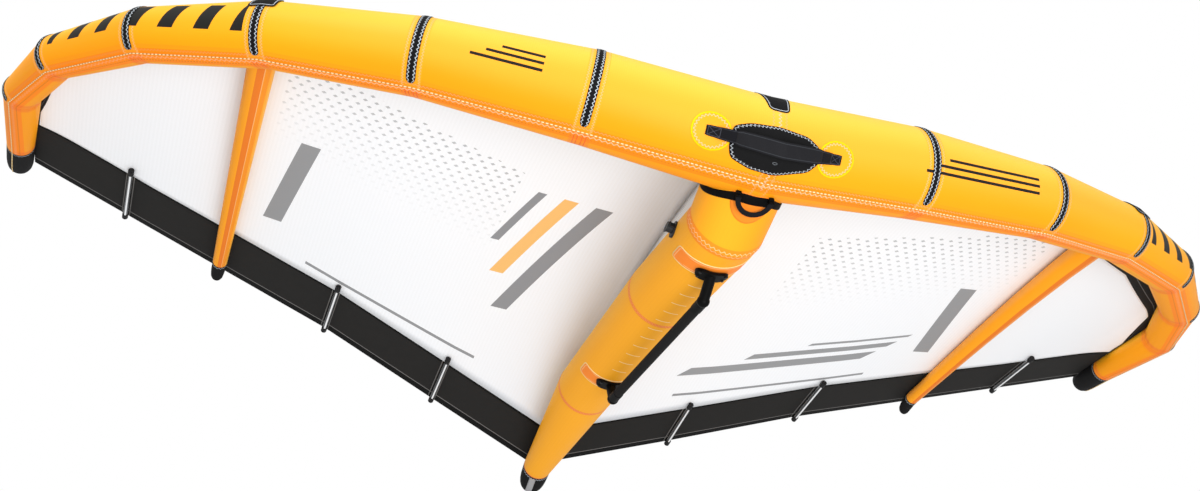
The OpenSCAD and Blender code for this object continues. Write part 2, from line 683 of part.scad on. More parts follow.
// Boom: a straight tube between two legs, tilted about the grip's middle
boom_way = [0, cos(boom_tilt), sin(boom_tilt)];
socket_len = 60;
socket_depth = 46;
socket_wall = 4;
socket_r = boom_d / 2 + socket_wall;
elbow_r = max(socket_r, leg_d / 2) + 2;
boom_end = boom_len / 2;
tube_end = boom_end - socket_len + socket_depth;
grip_end = boom_end - socket_len - seat;
module boom_tube() {
  color(charcoal) difference() {
    bar(-tube_end * boom_way, tube_end * boom_way, boom_d / 2);
    bar(-boom_len * boom_way, boom_len * boom_way, boom_d / 2 - boom_wall);
  }
}
module boom_grip() {
  color(charcoal) difference() {
    bar(-grip_end * boom_way, grip_end * boom_way, grip_d / 2);
    bar(-boom_len * boom_way, boom_len * boom_way, boom_d / 2 + seat);
  }
}

// Base plates are saddles on the strut, and the legs end on them
plate_low = gap + tape_t + gap;
function plate_foot(y) = cone_pt(strut_at_y(y), 270, 0) + nose;
function plate_axis(y) = strut_axis(strut_at_y(y)) + nose;
module plate_shape(y) {
  straight = plate_w - plate_len;
  aim(plate_axis(y), plate_foot(y)) linear_extrude(strut_d[0]) rotate(90) union() {
    square([straight, plate_len], center = true);
    for (side = [-1, 1]) translate([side * straight / 2, 0]) circle(d = plate_len);
  }
}
screw_arc = 18;
screw_run = 14;
screw_head_r = screw_d * 0.9;
screw_head_h = 3.5;
function screw_line(y, side, way, lift) =
  cone_pt(strut_at_y(y + way * screw_run), 270 + side * screw_arc, lift) + nose;
module boom_plate(y) {
  k = floor(strut_at_y(y));
  color(black) difference() {
    intersection() {
      plate_shape(y);
      translate(nose) strut_cone(k, plate_low + plate_t);
    }
    translate(nose) strut_cone(k, plate_low);
    for (side = [-1, 1], way = [-1, 1])
      bar(screw_line(y, side, way, 0), screw_line(y, side, way, 2 * plate_t), screw_d / 2 + seat);
  }
}
module boom_screws() {
  color(grey) for (y = [plate_front, plate_rear], side = [-1, 1], way = [-1, 1]) {
    top = plate_low + plate_t + seat;
    bar(screw_line(y, side, way, plate_low), screw_line(y, side, way, top + screw_head_h), screw_d / 2);
    bar(screw_line(y, side, way, top), screw_line(y, side, way, top + screw_head_h), screw_head_r);
  }
}

// Each leg is a strut from its base plate to the elbow, with a socket for the boom tube
module boom_leg(y, end) {
  k = floor(strut_at_y(y));
  elbow = end * boom_end * boom_way;
  mouth = end * (boom_end - socket_len) * boom_way;
  color(black) difference() {
    union() {
      bar(plate_foot(y), elbow, leg_d / 2);
      translate(elbow) sphere(elbow_r);
      bar(elbow, mouth, socket_r);
    }
    translate(nose) strut_cone(k, plate_low + plate_t + seat);
    bar(mouth - end * boom_way, mouth + end * (socket_depth + seat) * boom_way, boom_d / 2 + seat);
  }
}

// Inflation valve on the strut's left side, drawn in its own frame with +Z out of the inlet
spigot_len = 12;
spigot_r = 10;
spigot_wall = 2;
floor_z = 1;
floor_t = 3;
well_r = 8;
well_depth = 10;
flange_t = 4;
pin_r = 2;
pin_head_r = 3.6;
pin_head_t = 2;
pin_top = floor_z + floor_t + well_depth - 1;
disc_r = 9.4;
disc_t = 3;
inlet_floor = floor_z + floor_t + well_depth;
valve_top = inlet_floor + inlet_depth;
hinge_y = valve_d / 2 + 5;
hinge_z = valve_top - 1;
ear_w = 3.2;
lug_w = 8;
lug_r = 3;
pivot_r = 1.5;
lid_t = 3.7;
thumb_w = 12;
thumb_out = 6;
valve_s = strut_at_y(valve_back);
valve_seat = cone_pt(valve_s, valve_high, 0);
valve_out = cone_pt(valve_s, valve_high, 1);
module at_valve() { aim(valve_seat, valve_out) children(); }

module valve_body() {
  air_holes = 4;
  air_hole_r = 2;
  air_circle = 5.2;
  color(black) at_nose() difference() {
    at_valve() difference() {
      union() {
        translate([0, 0, -flange_t]) cylinder(h = 2 * flange_t, d = flange_d);
        cylinder(h = valve_top, d = valve_d);
        for (side = [-1, 1]) translate([side * (lug_w / 2 + gap + ear_w / 2), 0, 0]) {
          translate([-ear_w / 2, 0, flange_t]) cube([ear_w, hinge_y, hinge_z - flange_t]);
          translate([0, hinge_y, hinge_z]) rotate([0, 90, 0]) cylinder(h = ear_w, r = lug_r, center = true);
        }
        translate([0, hinge_y, hinge_z]) rotate([0, 90, 0])
          cylinder(h = lug_w + 2 * gap + ear_w, r = pivot_r, center = true);
      }
      translate([0, 0, inlet_floor]) cylinder(h = inlet_depth + 1, d = inlet_d);
      translate([0, 0, floor_z + floor_t]) cylinder(h = well_depth + 1, r = well_r);
      translate([0, 0, -1]) cylinder(h = floor_t + 3, r = pin_r + seat);
      for (k = [0:air_holes - 1]) rotate(45 + 360 * k / air_holes) translate([air_circle, 0, -flange_t])
        cylinder(h = 4 * flange_t, r = air_hole_r);
      translate([0, 0, -flange_t - 1]) cylinder(h = flange_t + 1 + floor_z, r = spigot_r - spigot_wall);
    }
    strut_cone(1, gap);
  }
  color(black) at_nose() at_valve() difference() {
    translate([0, 0, -spigot_len]) cylinder(h = spigot_len + floor_z, r = spigot_r);
    translate([0, 0, -spigot_len - 1]) cylinder(h = spigot_len + floor_z + 1, r = spigot_r - spigot_wall);
  }
}

module valve_cap() {
  arm = hinge_y - valve_d / 2 + 3;
  lid_low = valve_top + gap;
  lid_d = valve_d + 4;
  color(black) at_nose() at_valve() difference() {
    union() {
      translate([0, 0, lid_low]) cylinder(h = lid_t, d = lid_d);
      translate([-thumb_w / 2, -lid_d / 2 - thumb_out, lid_low]) cube([thumb_w, 2 * thumb_out, lid_t / 2]);
      translate([-lug_w / 2, hinge_y - arm, lid_low]) cube([lug_w, arm, lid_t]);
      translate([0, hinge_y, hinge_z]) rotate([0, 90, 0]) cylinder(h = lug_w, r = lug_r, center = true);
      translate([-lug_w / 2, hinge_y - lug_r, hinge_z]) cube([lug_w, 2 * lug_r, lid_low + lid_t - hinge_z]);
    }
    translate([0, hinge_y, hinge_z]) rotate([0, 90, 0])
      cylinder(h = 2 * lug_w, r = pivot_r + running, center = true);
  }
}

module valve_poppet() {
  color(grey) at_nose() at_valve() {
    translate([0, 0, -spigot_len - gap - disc_t]) cylinder(h = disc_t, r = disc_r);
    translate([0, 0, -spigot_len - gap - 1]) cylinder(h = pin_top + spigot_len + gap + 1, r = pin_r);
    translate([0, 0, pin_top - pin_head_t]) cylinder(h = pin_head_t, r = pin_head_r);
  }
}

// The return spring sits on the valve floor under the pin's head
wire_r = 0.35;
spring_r = 2.9;
spring_turns = 5;
spring_low = floor_z + floor_t + wire_r + seat;
spring_high = pin_top - pin_head_t - wire_r - seat;
coil_steps = 10;
wire_sides = 6;
module valve_spring() {
  count = spring_turns * coil_steps;
  function coil_ring(k) = let (a = 360 * k / coil_steps, z = lerp(spring_low, spring_high, k / count))
    [for (j = [0:wire_sides - 1]) let (b = -360 * j / wire_sides, r = spring_r + wire_r * cos(b))
      [r * cos(a), r * sin(a), z + wire_r * sin(b)]];
  color(grey) at_nose() at_valve() loft([for (k = [0:count]) coil_ring(k)]);
}

le_panel(1, -1);  // le_panel_left_1
le_panel(2, -1);  // le_panel_left_2
le_panel(3, -1);  // le_panel_left_3
le_panel(4, -1);  // le_panel_left_4
le_panel(5, -1);  // le_panel_left_5
le_panel(6, -1);  // le_panel_left_6
le_panel(7, -1);  // le_panel_left_7
le_panel(1, 1);  // le_panel_right_1
le_panel(2, 1);  // le_panel_right_2
le_panel(3, 1);  // le_panel_right_3
le_panel(4, 1);  // le_panel_right_4
le_panel(5, 1);  // le_panel_right_5
le_panel(6, 1);  // le_panel_right_6
le_panel(7, 1);  // le_panel_right_7
le_tip_cap(-1);  // le_tip_cap_left
le_tip_cap(1);  // le_tip_cap_right
le_seam_tapes();
le_bladder();
le_scuff_pads();
handle_pad();
handle_strap();
handle_patches();
canopy(-1);  // canopy_left
canopy(1);  // canopy_right
te_band(-1);  // te_band_left
te_band(1);  // te_band_right
tip_panel(-1);  // tip_panel_left
tip_panel(1);  // tip_panel_right
battens(-1);  // battens_left
battens(1);  // battens_right
batten_end_caps();
strut_nose();
strut_front();
strut_middle();
strut_tail();
strut_bladder();
strut_tail_cap();
strut_web();
strut_nose_trim();
strut_patches();
leash_loop();
side_strut(-1);  // side_strut_left
side_strut(1);  // side_strut_right
side_strut_cap(-1);  // side_strut_cap_left
side_strut_cap(1);  // side_strut_cap_right
side_strut_bladders();
air_hoses();
boom_tube();
boom_grip();
boom_leg(plate_front, -1);  // boom_front_leg
boom_leg(plate_rear, 1);  // boom_rear_leg
boom_plate(plate_front);  // boom_front_plate
boom_plate(plate_rear);  // boom_rear_plate
boom_screws();
valve_body();
valve_cap();
valve_poppet();
valve_spring();
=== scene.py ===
import math
from functools import partialmethod

import bpy
import numpy as np
from mathutils import Matrix, Vector
from numpy import linspace
from numpy.linalg import norm


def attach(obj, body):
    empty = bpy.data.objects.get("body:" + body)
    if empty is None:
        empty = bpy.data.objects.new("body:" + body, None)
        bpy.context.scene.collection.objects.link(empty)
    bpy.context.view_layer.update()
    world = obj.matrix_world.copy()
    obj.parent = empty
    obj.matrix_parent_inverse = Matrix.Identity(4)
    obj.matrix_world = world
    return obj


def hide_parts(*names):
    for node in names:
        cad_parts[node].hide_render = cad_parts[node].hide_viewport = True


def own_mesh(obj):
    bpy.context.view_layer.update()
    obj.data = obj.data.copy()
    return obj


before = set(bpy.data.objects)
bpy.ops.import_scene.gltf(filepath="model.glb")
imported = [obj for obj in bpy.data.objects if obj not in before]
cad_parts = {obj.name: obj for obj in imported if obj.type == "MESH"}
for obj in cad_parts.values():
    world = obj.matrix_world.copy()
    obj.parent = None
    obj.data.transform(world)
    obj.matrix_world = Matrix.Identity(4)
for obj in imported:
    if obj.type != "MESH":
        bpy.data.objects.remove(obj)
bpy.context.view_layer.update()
MM = 0.001
SIDES = (("left", -1), ("right", 1))

# Leading edge tube, in millimetres from the nose, as the solids have it
LE_D = [300, 278, 232, 197, 167, 141, 122, 92]
LE_LEN = [515, 490, 460, 415, 385, 285, 392]
LE_SWEEP = [5, 8, 21.5, 32.5, 48.5, 68.5, 88.5]
LE_CLIMB = [8, 6.5, 10, 8.5, 8, 4.5, 7]
TIP_CAP_LEN = 185
TAPE_W = 27
NOSE = np.array([0.0, -869.0, 250.0])
PANELS = len(LE_LEN)
PIPING_ANGLE = [256, 262.5, 266, 263, 255, 253.5, 240, 246]
SEWN = 0.3

# Canopy and trailing edge
SEAM_ROOT, SEAM_TIP = 65, 35
TE_X, TE_Y, TE_Z = [0, 490, 960, 2081], [2355, 2116, 1914, 1580], [-45, 52, 162, 417]
BAND_W = (218, 278)
BATTEN_X = (491, 963, 1747)
RISE_FRONT, FALL_BACK, FALL_REACH = 0.15, -0.28, 0.8
TIP_SHARE = ([3, 3.1, 4, 5, 5.5, 5.97, 6, 7], [0, 0.12, 0.16, 0.2, 0.11, 0.65, 1, 1])

# Centre strut
STRUT_Y = [34, 254, 812, 1640, 2280]
STRUT_Z = [-14, -117, -58, -25, -85]
STRUT_D = [246, 238, 234, 212, 110]
TAIL_LEN = 120

rad = np.radians


def unit(v):
    return v / norm(v)


def cos(a):
    return math.cos(rad(a))


def sin(a):
    return math.sin(rad(a))


def chain(ring, s, last):
    """Point at station s of a chain of rings, straight from each ring to the next."""
    k = max(0, min(int(s), last - 1))
    return ring(k) * (k + 1 - s) + ring(k + 1) * (s - k)


def panel_way(sweep, climb):
    flat = cos(climb)
    return np.array([flat * cos(sweep), flat * sin(sweep), sin(climb)])


def mitres(ways):
    """Ways through the bends of a chain, each halfway between its neighbours."""
    return [unit(a + b) for a, b in zip(ways, ways[1:])]


LE_DIR = [panel_way(w, c) for w, c in zip(LE_SWEEP, LE_CLIMB)]
LE_C = [np.zeros(3)]
for _length, _way in zip(LE_LEN, LE_DIR):
    LE_C.append(LE_C[-1] + _length * _way)
LE_N = [np.array([1.0, 0, 0])] + mitres(LE_DIR) + [LE_DIR[-1]]
LE_IN = [unit(np.cross([0, 0, 1], n)) for n in LE_N]
LE_UP = [np.cross(n, i) for n, i in zip(LE_N, LE_IN)]
LE_RUN = np.concatenate([[0], np.cumsum(LE_LEN)])


def le_out(i, a):
    """Way out from the tube's axis at ring i."""
    return cos(a) * LE_IN[i] + sin(a) * LE_UP[i]


def ring_pt(i, a, lift):
    return LE_C[i] + (LE_D[i] / 2 + lift) * le_out(i, a)


def le_pt(s, a, lift=0.0):
    """Point on the tube: station s, angle a (0 inboard, 90 up, 180 forward, 270 down)."""
    p = chain(lambda i: ring_pt(i, a, lift), abs(s), PANELS)
    return p * [-1 if s < 0 else 1, 1, 1]


def le_r(s):
    return np.interp(abs(s), range(PANELS + 1), LE_D) / 2


def piping_angle(s):
    return np.interp(abs(s), range(PANELS + 1), PIPING_ANGLE)


STRUT_C = [np.array([0.0, y, z]) for y, z in zip(STRUT_Y, STRUT_Z)]
STRUT_DIR = [unit(STRUT_C[k + 1] - STRUT_C[k]) for k in range(4)]
STRUT_N = [STRUT_DIR[0]] + mitres(STRUT_DIR) + [STRUT_DIR[3]]


def strut_up(n):
    return np.array([0, -n[2], n[1]])


def strut_out(n, a):
    """Way out from a strut's axis along n: angle 0 left, 90 up, 180 right, 270 down."""
    return sin(a) * strut_up(n) - [cos(a), 0, 0]


def strut_ring(k, a, lift):
    return STRUT_C[k] + (STRUT_D[k] / 2 + lift) * strut_out(STRUT_N[k], a)


def strut_pt(s, a, lift=0.0):
    return chain(lambda k: strut_ring(k, a, lift), s, 4)


def strut_s(y):
    return np.interp(y, STRUT_Y, range(5))


def seam_angle(i):
    return SEAM_ROOT + (SEAM_TIP - SEAM_ROOT) * i / PANELS


SEAM = [ring_pt(i, seam_angle(i), SEWN) for i in range(PANELS + 1)]


def seam_pt(s):
    return chain(lambda i: SEAM[i], s, PANELS)


def te_pt(x):
    x = min(x, TE_X[-1])
    return np.array([x, np.interp(x, TE_X, TE_Y), np.interp(x, TE_X, TE_Z)])


def rib(s, t):
    """Point of the canopy's lower face: station s, part t of the way from tube to trailing edge."""
    a = seam_pt(s)
    e = te_pt(a[0])
    run = e[1] - a[1]
    m0 = RISE_FRONT * max(0, 1 - a[0] / TE_X[-1])
    m1 = FALL_BACK * max(0, 1 - a[0] / (FALL_REACH * TE_X[-1]))
    z = (
        a[2] * (2 * t**3 - 3 * t**2 + 1)
        + e[2] * (3 * t**2 - 2 * t**3)
        + run * (m0 * (t**3 - 2 * t**2 + t) + m1 * (t**3 - t**2))
    )
    return np.array([a[0] + (e[0] - a[0]) * t, a[1] + run * t, z])


def rib_s(x):
    return np.interp(x, [p[0] for p in SEAM], range(PANELS + 1))


def band_w(x):
    return BAND_W[0] + (BAND_W[1] - BAND_W[0]) * min(1, x / TE_X[-1])


def band_t(s):
    a = seam_pt(s)
    return max(0.0, 1 - band_w(a[0]) / (te_pt(a[0])[1] - a[1]))


def tip_t(s):
    return np.interp(s, *TIP_SHARE) * band_t(s)


def fix(node, values):
    """Sets inputs of a node, by name or number."""
    for name, value in values.items():
        node.inputs[name].default_value = value


class Val:
    """A socket that takes part in arithmetic, which adds nodes to its tree."""

    def __init__(self, tree, sock):
        self.tree = tree
        self.sock = sock

    def op(self, kind, other=None):
        n = self.tree.nodes.new("ShaderNodeMath")
        n.operation = kind
        self.tree.links.new(self.sock, n.inputs[0])
        if isinstance(other, Val):
            self.tree.links.new(other.sock, n.inputs[1])
        elif other is not None:
            fix(n, {1: other})
        return Val(self.tree, n.outputs[0])

    __add__ = partialmethod(op, "ADD")
    __sub__ = partialmethod(op, "SUBTRACT")
    __mul__ = partialmethod(op, "MULTIPLY")
    __truediv__ = partialmethod(op, "DIVIDE")
    abs = partialmethod(op, "ABSOLUTE")
    frac = partialmethod(op, "FRACT")
    less = partialmethod(op, "LESS_THAN")
    more = partialmethod(op, "GREATER_THAN")
    max = partialmethod(op, "MAXIMUM")
    min = partialmethod(op, "MINIMUM")

    def between(self, low, high):
        return self.more(low) * self.less(high)

    def near(self, centre, half):
        return (self - centre).abs().less(half)

    def soft(self, low, high):
        """0 at low and 1 at high, with a smooth step between."""
        n = self.tree.nodes.new("ShaderNodeMapRange")
        n.interpolation_type = "SMOOTHSTEP"
        self.tree.links.new(self.sock, n.inputs[0])
        fix(n, {1: low, 2: high})
        return Val(self.tree, n.outputs[0])


def linear(v):
    return v / 12.92 if v <= 0.04045 else ((v + 0.055) / 1.055) ** 2.4


def srgb(*c):
    return [linear(v / 255) for v in c] + [1.0]


def zigzag(along, across, centre, amp, pitch, thick):
    wave = ((along / pitch).frac() - 0.5).abs() * (4 * amp) - amp
    return (across - centre - wave).abs().less(thick)


class Paint:
    """A Principled material whose colour is built up in layers."""

    def __init__(self, name, colour, rough=0.6, metal=0.0, spec=0.3, coat=0.0):
        self.mat = bpy.data.materials.new(name)
        self.mat.use_nodes = True
        self.tree = self.mat.node_tree
        self.link = self.tree.links.new
        self.bsdf = self.tree.nodes["Principled BSDF"]
        fix(self.bsdf, {"Roughness": rough, "Metallic": metal})
        fix(self.bsdf, {"Specular IOR Level": spec, "Coat Weight": coat})
        self.colour = srgb(*colour)
        self.height = None

    def node(self, kind, **props):
        n = self.tree.nodes.new(kind)
        for k, v in props.items():
            setattr(n, k, v)
        return n

    def parts(self, sock):
        x = self.node("ShaderNodeSeparateXYZ")
        self.link(sock, x.inputs[0])
        return [Val(self.tree, o) for o in x.outputs]

    def uv(self, name="UVMap"):
        return self.parts(self.node("ShaderNodeUVMap", uv_map=name).outputs[0])[:2]

    def place(self):
        return self.parts(self.node("ShaderNodeTexCoord").outputs["Object"])

    def noise(self, scale):
        c = self.node("ShaderNodeTexCoord")
        n = self.node("ShaderNodeTexNoise")
        self.link(c.outputs["Object"], n.inputs["Vector"])
        fix(n, {"Scale": scale, "Detail": 3.0, "Roughness": 0.55})
        return Val(self.tree, n.outputs[0])

    def feed(self, sock, v):
        if hasattr(v, "is_output"):
            self.link(v, sock)
        else:
            sock.default_value = v

    def over(self, colour, share):
        """Lays a colour over what is there, as far as share says."""
        n = self.node("ShaderNodeMix", data_type="RGBA")
        self.link(share.sock, n.inputs[0])
        self.feed(n.inputs[6], self.colour)
        fix(n, {7: srgb(*colour)})
        self.colour = n.outputs[2]

    def raise_by(self, v):
        self.height = v if self.height is None else self.height + v

    def done(self, bump=0.3, distance=0.0006):
        self.feed(self.bsdf.inputs["Base Color"], self.colour)
        if self.height is not None:
            n = self.node("ShaderNodeBump")
            fix(n, {"Strength": bump, "Distance": distance})
            self.link(self.height.sock, n.inputs["Height"])
            self.link(n.outputs[0], self.bsdf.inputs["Normal"])
        return self.mat


class Cloth(Paint):
    """A material with woven threads; maps are u and v, and the two of the piece's Seam layer."""

    def __init__(self, name, colour, pitch=0.0016, rough=0.5, spec=0.1):
        super().__init__(name, colour, rough=rough, spec=spec)
        self.maps = self.uv() + self.uv("Seam")
        a, b = (((m / pitch).frac() - 0.5).abs() for m in self.maps[:2])
        self.raise_by((a + b) * 0.5)


PINK, DEEP = (255, 190, 150), (255, 132, 14)
BLACK = {"pitch": 0.0014, "rough": 0.7, "spec": 0.08}


def tube_tones_and_painted_light(p, u, v, around):
    """Painted highlight and shade: orange below, yellow above, brightest along the top; deeper towards
    the tips, with a faint grid.
    """
    # Painted light: the casing turns yellow towards its top and orange towards its underside
    p.over((255, 171, 50), around.soft(0.05, 0.35))
    p.over((255, 208, 78), around.soft(0.33, 0.8))
    p.over((255, 240, 72), around.soft(0.8, 1.0))
    p.over((255, 176, 36), p.noise(2.2) * 0.2)
    p.over((255, 180, 8), v.soft(0.8, 1.7) * around.soft(1.0, 0.8) * 0.6)
    p.over((252, 150, 0), v.soft(1.3, 2.2) * around.soft(0.8, 0.35) * 0.6)
    grid = ((u / 0.006).frac().less(0.16) + (v / 0.006).frac().less(0.16)).min(1.0)
    p.over((226, 132, 20), grid * 0.1)


def tube_seams(p, u, v, ends, x):
    """Stitched seams at the piping, the mitres and midspan. Gives the boldest line."""
    middle = v.less(0.032)
    mitre = ends.less(0.03) * v.more(0.032)
    p.over(DEEP, u.between(-0.042, 0.02) * 0.8)
    p.over((255, 148, 20), u.between(0.02, 0.034) * 0.4)
    p.over(DEEP, v.less(0.025) * u.between(0.018, 0.11) * 0.7)
    p.over((246, 120, 44), mitre * u.less(0.0) * 0.35)
    p.over((255, 164, 36), mitre * u.more(0.0) * 0.5)
    red = (ends.near(0.007, 0.0016) + ends.near(0.017, 0.0016)).min(1.0)
    p.over((240, 84, 40), red * mitre * u.less(-0.012) * 0.7)
    mitre_line = zigzag(u, ends, 0.024, 0.0028, 0.009, 0.0013)
    p.over(PINK, mitre_line * mitre * u.more(0.0) * 0.6)
    middle_line = zigzag(u, x, 0.0, 0.004, 0.013, 0.0022)
    p.over(PINK, middle_line * middle * u.more(-0.03) * 0.95)
    p.over((226, 170, 110), zigzag(u, v, 0.019, 0.003, 0.011, 0.0014) * middle * 0.8)
    inner = v.soft(2.2, 0.9) * 0.6 + 0.35
    p.over((214, 160, 104), zigzag(v, u, 0.014, 0.003, 0.011, 0.0012) * inner)
    bold = zigzag(v, u, -0.013, 0.0042, 0.0165, 0.0022)
    p.over(PINK, bold * inner)
    p.over((190, 104, 24), u.near(-0.027, 0.0016) * (v / 0.01).frac().less(0.5) * 0.8)
    return bold


def tube_stripes(p, u, v, x):
    """A plain design: bars near the tips and lines further in."""
    black = (34, 33, 30)
    lean = v + u * 0.35
    outer = v.between(1.5, 2.22) * u.between(0.085, 0.175)
    p.over(black, outer * ((lean - 1.52) / 0.118).frac().less(0.42))
    for low, far in ((0.15, 0.86), (0.172, 0.82), (0.194, 0.78)):
        p.over(black, u.near(low, 0.0045) * v.between(0.66, far) * x.less(0.0))
        p.over(black, u.near(low - 0.02, 0.0045) * v.between(1.34 - far, 0.9) * x.more(0.0))


def tube_cloth():
    """Yellow casing: u is the arc from the piping, v the run from midspan, ends the way to a mitre."""
    p = Cloth("tube_cloth", (255, 156, 12))
    u, v, ends, around = p.maps
    x = p.place()[0]
    tube_tones_and_painted_light(p, u, v, around)
    bold = tube_seams(p, u, v, ends, x)
    tube_stripes(p, u, v, x)
    p.raise_by(bold * 2.0)
    p.raise_by(p.noise(14.0) * 1.5)
    return p.done(0.25, 0.0008)


def black_cloth(name, colour, *stitch):
    """Black cloth; stitch lists lines of zigzag across the strip."""
    p = Cloth(name, colour, **BLACK)
    edge, along = p.maps[2:]
    p.over([c + 10 for c in colour], p.noise(30.0) * 0.4)
    for centre, amp, pitch, thick, shade in stitch:
        line = zigzag(along, edge, centre, amp, pitch, thick)
        p.over(shade, line * 0.9)
        p.raise_by(line * 1.5)
    return p.done()


def band_cloth():
    """Trailing edge band: edge is the way from the hem, along the way from midspan."""
    p = Cloth("band_cloth", (36, 35, 34), **BLACK)
    edge, along = p.maps[2:]
    hem = 0.032
    p.over((44, 43, 42), p.noise(30.0) * 0.4)
    p.over((10, 10, 10), edge.less(hem) * 0.85)
    front = edge - along * ((BAND_W[1] - BAND_W[0]) / TE_X[-1])
    p.over((10, 10, 10), front.more(BAND_W[0] * MM - 0.012) * 0.85)
    pocket = edge.near(hem, 0.0022)
    for x in BATTEN_X:
        pocket = pocket.max((along - x * MM).abs().near(0.0135, 0.0017))
    p.over((112, 110, 108), pocket)
    return p.done()


def strut_cloth():
    """Orange casing with a wide band at the nose's seam, slim ones elsewhere, and a scale."""
    p = Cloth("strut_cloth", (252, 174, 36), rough=0.52)
    u, v, ends, kind = p.maps
    x, y, z = p.place()
    # Painted highlight: yellower up the sides and over the top of the strut
    p.over((246, 186, 56), u.abs().soft(0.1, 0.22) * 0.8)
    p.over((250, 164, 34), p.noise(2.6) * 0.35)
    # Painted shade: darker on the lower right side towards the nose
    p.over((246, 152, 26), u.soft(0.06, -0.08) * v.soft(0.75, 0.45) * 0.7)
    p.over((236, 150, 40), (u / 0.0125).frac().near(0.5, 0.1) * 0.1)
    wide = kind.more(0.5)
    slim = wide * -1 + 1.0
    p.over((246, 138, 34), ends.less(0.02) * wide * 0.85)
    p.over((238, 112, 46), ends.less(0.0095) * slim * 0.7)
    p.over((252, 206, 150), zigzag(u, ends, 0.0062, 0.0034, 0.017, 0.0012) * wide * 0.9)
    p.over((250, 160, 116), zigzag(u, ends, 0.0042, 0.0022, 0.012, 0.001) * slim * 0.8)
    ticks = ((y - 0.021) / 0.0738).frac().near(0.5, 0.022) * y.between(-0.41, 0.393)
    p.over((255, 228, 168), ticks * x.between(-0.032, 0.018) * z.less(0.2))
    p.raise_by(p.noise(16.0) * 1.2)
    return p.done(0.25, 0.0008)


def canopy_design(p, x, y):
    """Dots, bars and lines in grey, with one bar in orange."""
    grey = (146, 147, 149)
    ax = x.abs()
    slant = y + ax * 0.35
    row = y / 0.03
    step = (row * 0.5).frac().more(0.5) * 0.5
    dots = ((ax / 0.036 + step).frac() - 0.5).abs() + (row.frac() - 0.5).abs()
    field = ax.between(0.52, 1.32) * slant.between(0.02, 0.55)
    p.over((186, 188, 190), dots.less(0.24) * field * slant.soft(0.55, 0.02))
    p.over(grey, (ax - y * 0.12).between(1.16, 1.225) * y.between(0.02, 0.5))
    p.over(grey, (y + ax * 0.36 - 1.085).abs().less(0.008) * ax.between(0.4, 1.1))
    lean = ax - y * 0.25
    left_bars = (
        (0.21, 0.27, 0.62, (142, 143, 146)),
        (0.33, 0.38, 0.42, (246, 190, 110)),
        (0.44, 0.47, 0.24, (142, 143, 146)),
    )
    for low, high, far, shade in left_bars:
        p.over(shade, lean.between(low, high) * y.between(-0.08, far) * x.less(0.0))
    across, along = ax + y * 0.6 - 0.5, y + ax * 0.36
    for low, a, b in ((0.36, 0.9, 0.95), (0.48, 0.836, 0.87), (0.6, 0.79, 0.806)):
        p.over((150, 151, 153), across.between(low, 0.88) * along.between(a, b) * x.more(0.0))


def white_ripstop():
    """White canopy cloth with faint threads, and a painted cool tint over the strut against the warm
    light bounced from it.
    """
    p = Paint("white_ripstop", (247, 249, 252), rough=0.42, spec=0.25)
    x, y = p.place()[:2]
    ax = x.abs()
    # Painted light: a cool tint over the strut that offsets the warm light it bounces onto the canopy
    p.over((240, 246, 254), ax.soft(0.45, 0.05) * 0.9)
    p.over((237, 239, 241), (ax / 0.013).frac().less(0.5) * 0.25)
    threads = ((ax / 0.0052).frac().less(0.12) + (y / 0.0052).frac().less(0.12)).min(1.0)
    p.over((228, 229, 231), threads * 0.2)
    canopy_design(p, x, y)
    p.raise_by(p.noise(5.0) * 1.0)
    return p.done(0.15, 0.002)


def plain(name, colour, rough, metal=0.0, spec=0.4, grain=60.0, amount=0.25, bump=0.1):
    """Moulded, metal or foam surface with a fine grain."""
    p = Paint(name, colour, rough=rough, metal=metal, spec=spec)
    p.over([min(255, c + 16) for c in colour], p.noise(grain) * amount)
    p.raise_by(p.noise(grain * 6))
    return p.done(bump, 0.0004)


def patch_cloth():
    """Load patch: flame cloth with a double cream outline."""
    p = Cloth("patch_cloth", (252, 140, 44))
    edge = p.maps[2]
    p.over((246, 132, 42), p.noise(8.0) * 0.4)
    p.over((252, 226, 160), edge.less(0.0042) * 0.9)
    p.over((250, 200, 140), edge.near(0.0105, 0.0014) * 0.8)
    return p.done(0.25)


def round_patch():
    """Patch under the handle's strap, with a yellow rim and one line of zigzag."""
    p = Cloth("round_patch", (255, 168, 34))
    edge, along = p.maps[2:]
    p.over((252, 160, 34), p.noise(8.0) * 0.4)
    p.over((255, 214, 0), edge.less(0.0038))
    p.over(PINK, zigzag(along, edge, 0.01, 0.003, 0.013, 0.0015) * 0.9)
    return p.done(0.25)


def web_cloth():
    """Perforated cloth."""
    p = Paint("web_cloth", (246, 247, 248))
    y, z = p.place()[1:]
    a = (y / 0.009).frac() - 0.5
    b = (z / 0.009).frac() - 0.5
    hole = (a * a + b * b).less(0.055)
    p.over((214, 216, 219), hole)
    p.raise_by(hole * -1.0)
    return p.done()


def webbing_cloth():
    """Woven strap with a boxed cross of stitches near each end."""
    p = Cloth("strap_webbing", (22, 22, 26), **BLACK)
    u, v, edge = p.maps[:3]
    half_l, half_w, line = 0.016, 0.012, 0.0007
    p.over((12, 12, 15), (v / 0.0042).frac().less(0.22) * 0.7)
    p.over((56, 58, 64), edge.near(0.003, 0.0006) * 0.8)
    far = (u.abs() - 0.176).abs()
    wide = v.abs()
    box = far.near(half_l, line) * wide.less(half_w) + wide.near(half_w, line) * far.less(half_l)
    cross = (far * 0.75 - wide).abs().less(0.0008) * far.less(half_l)
    p.over((66, 68, 76), (box + cross).min(1.0))
    return p.done()


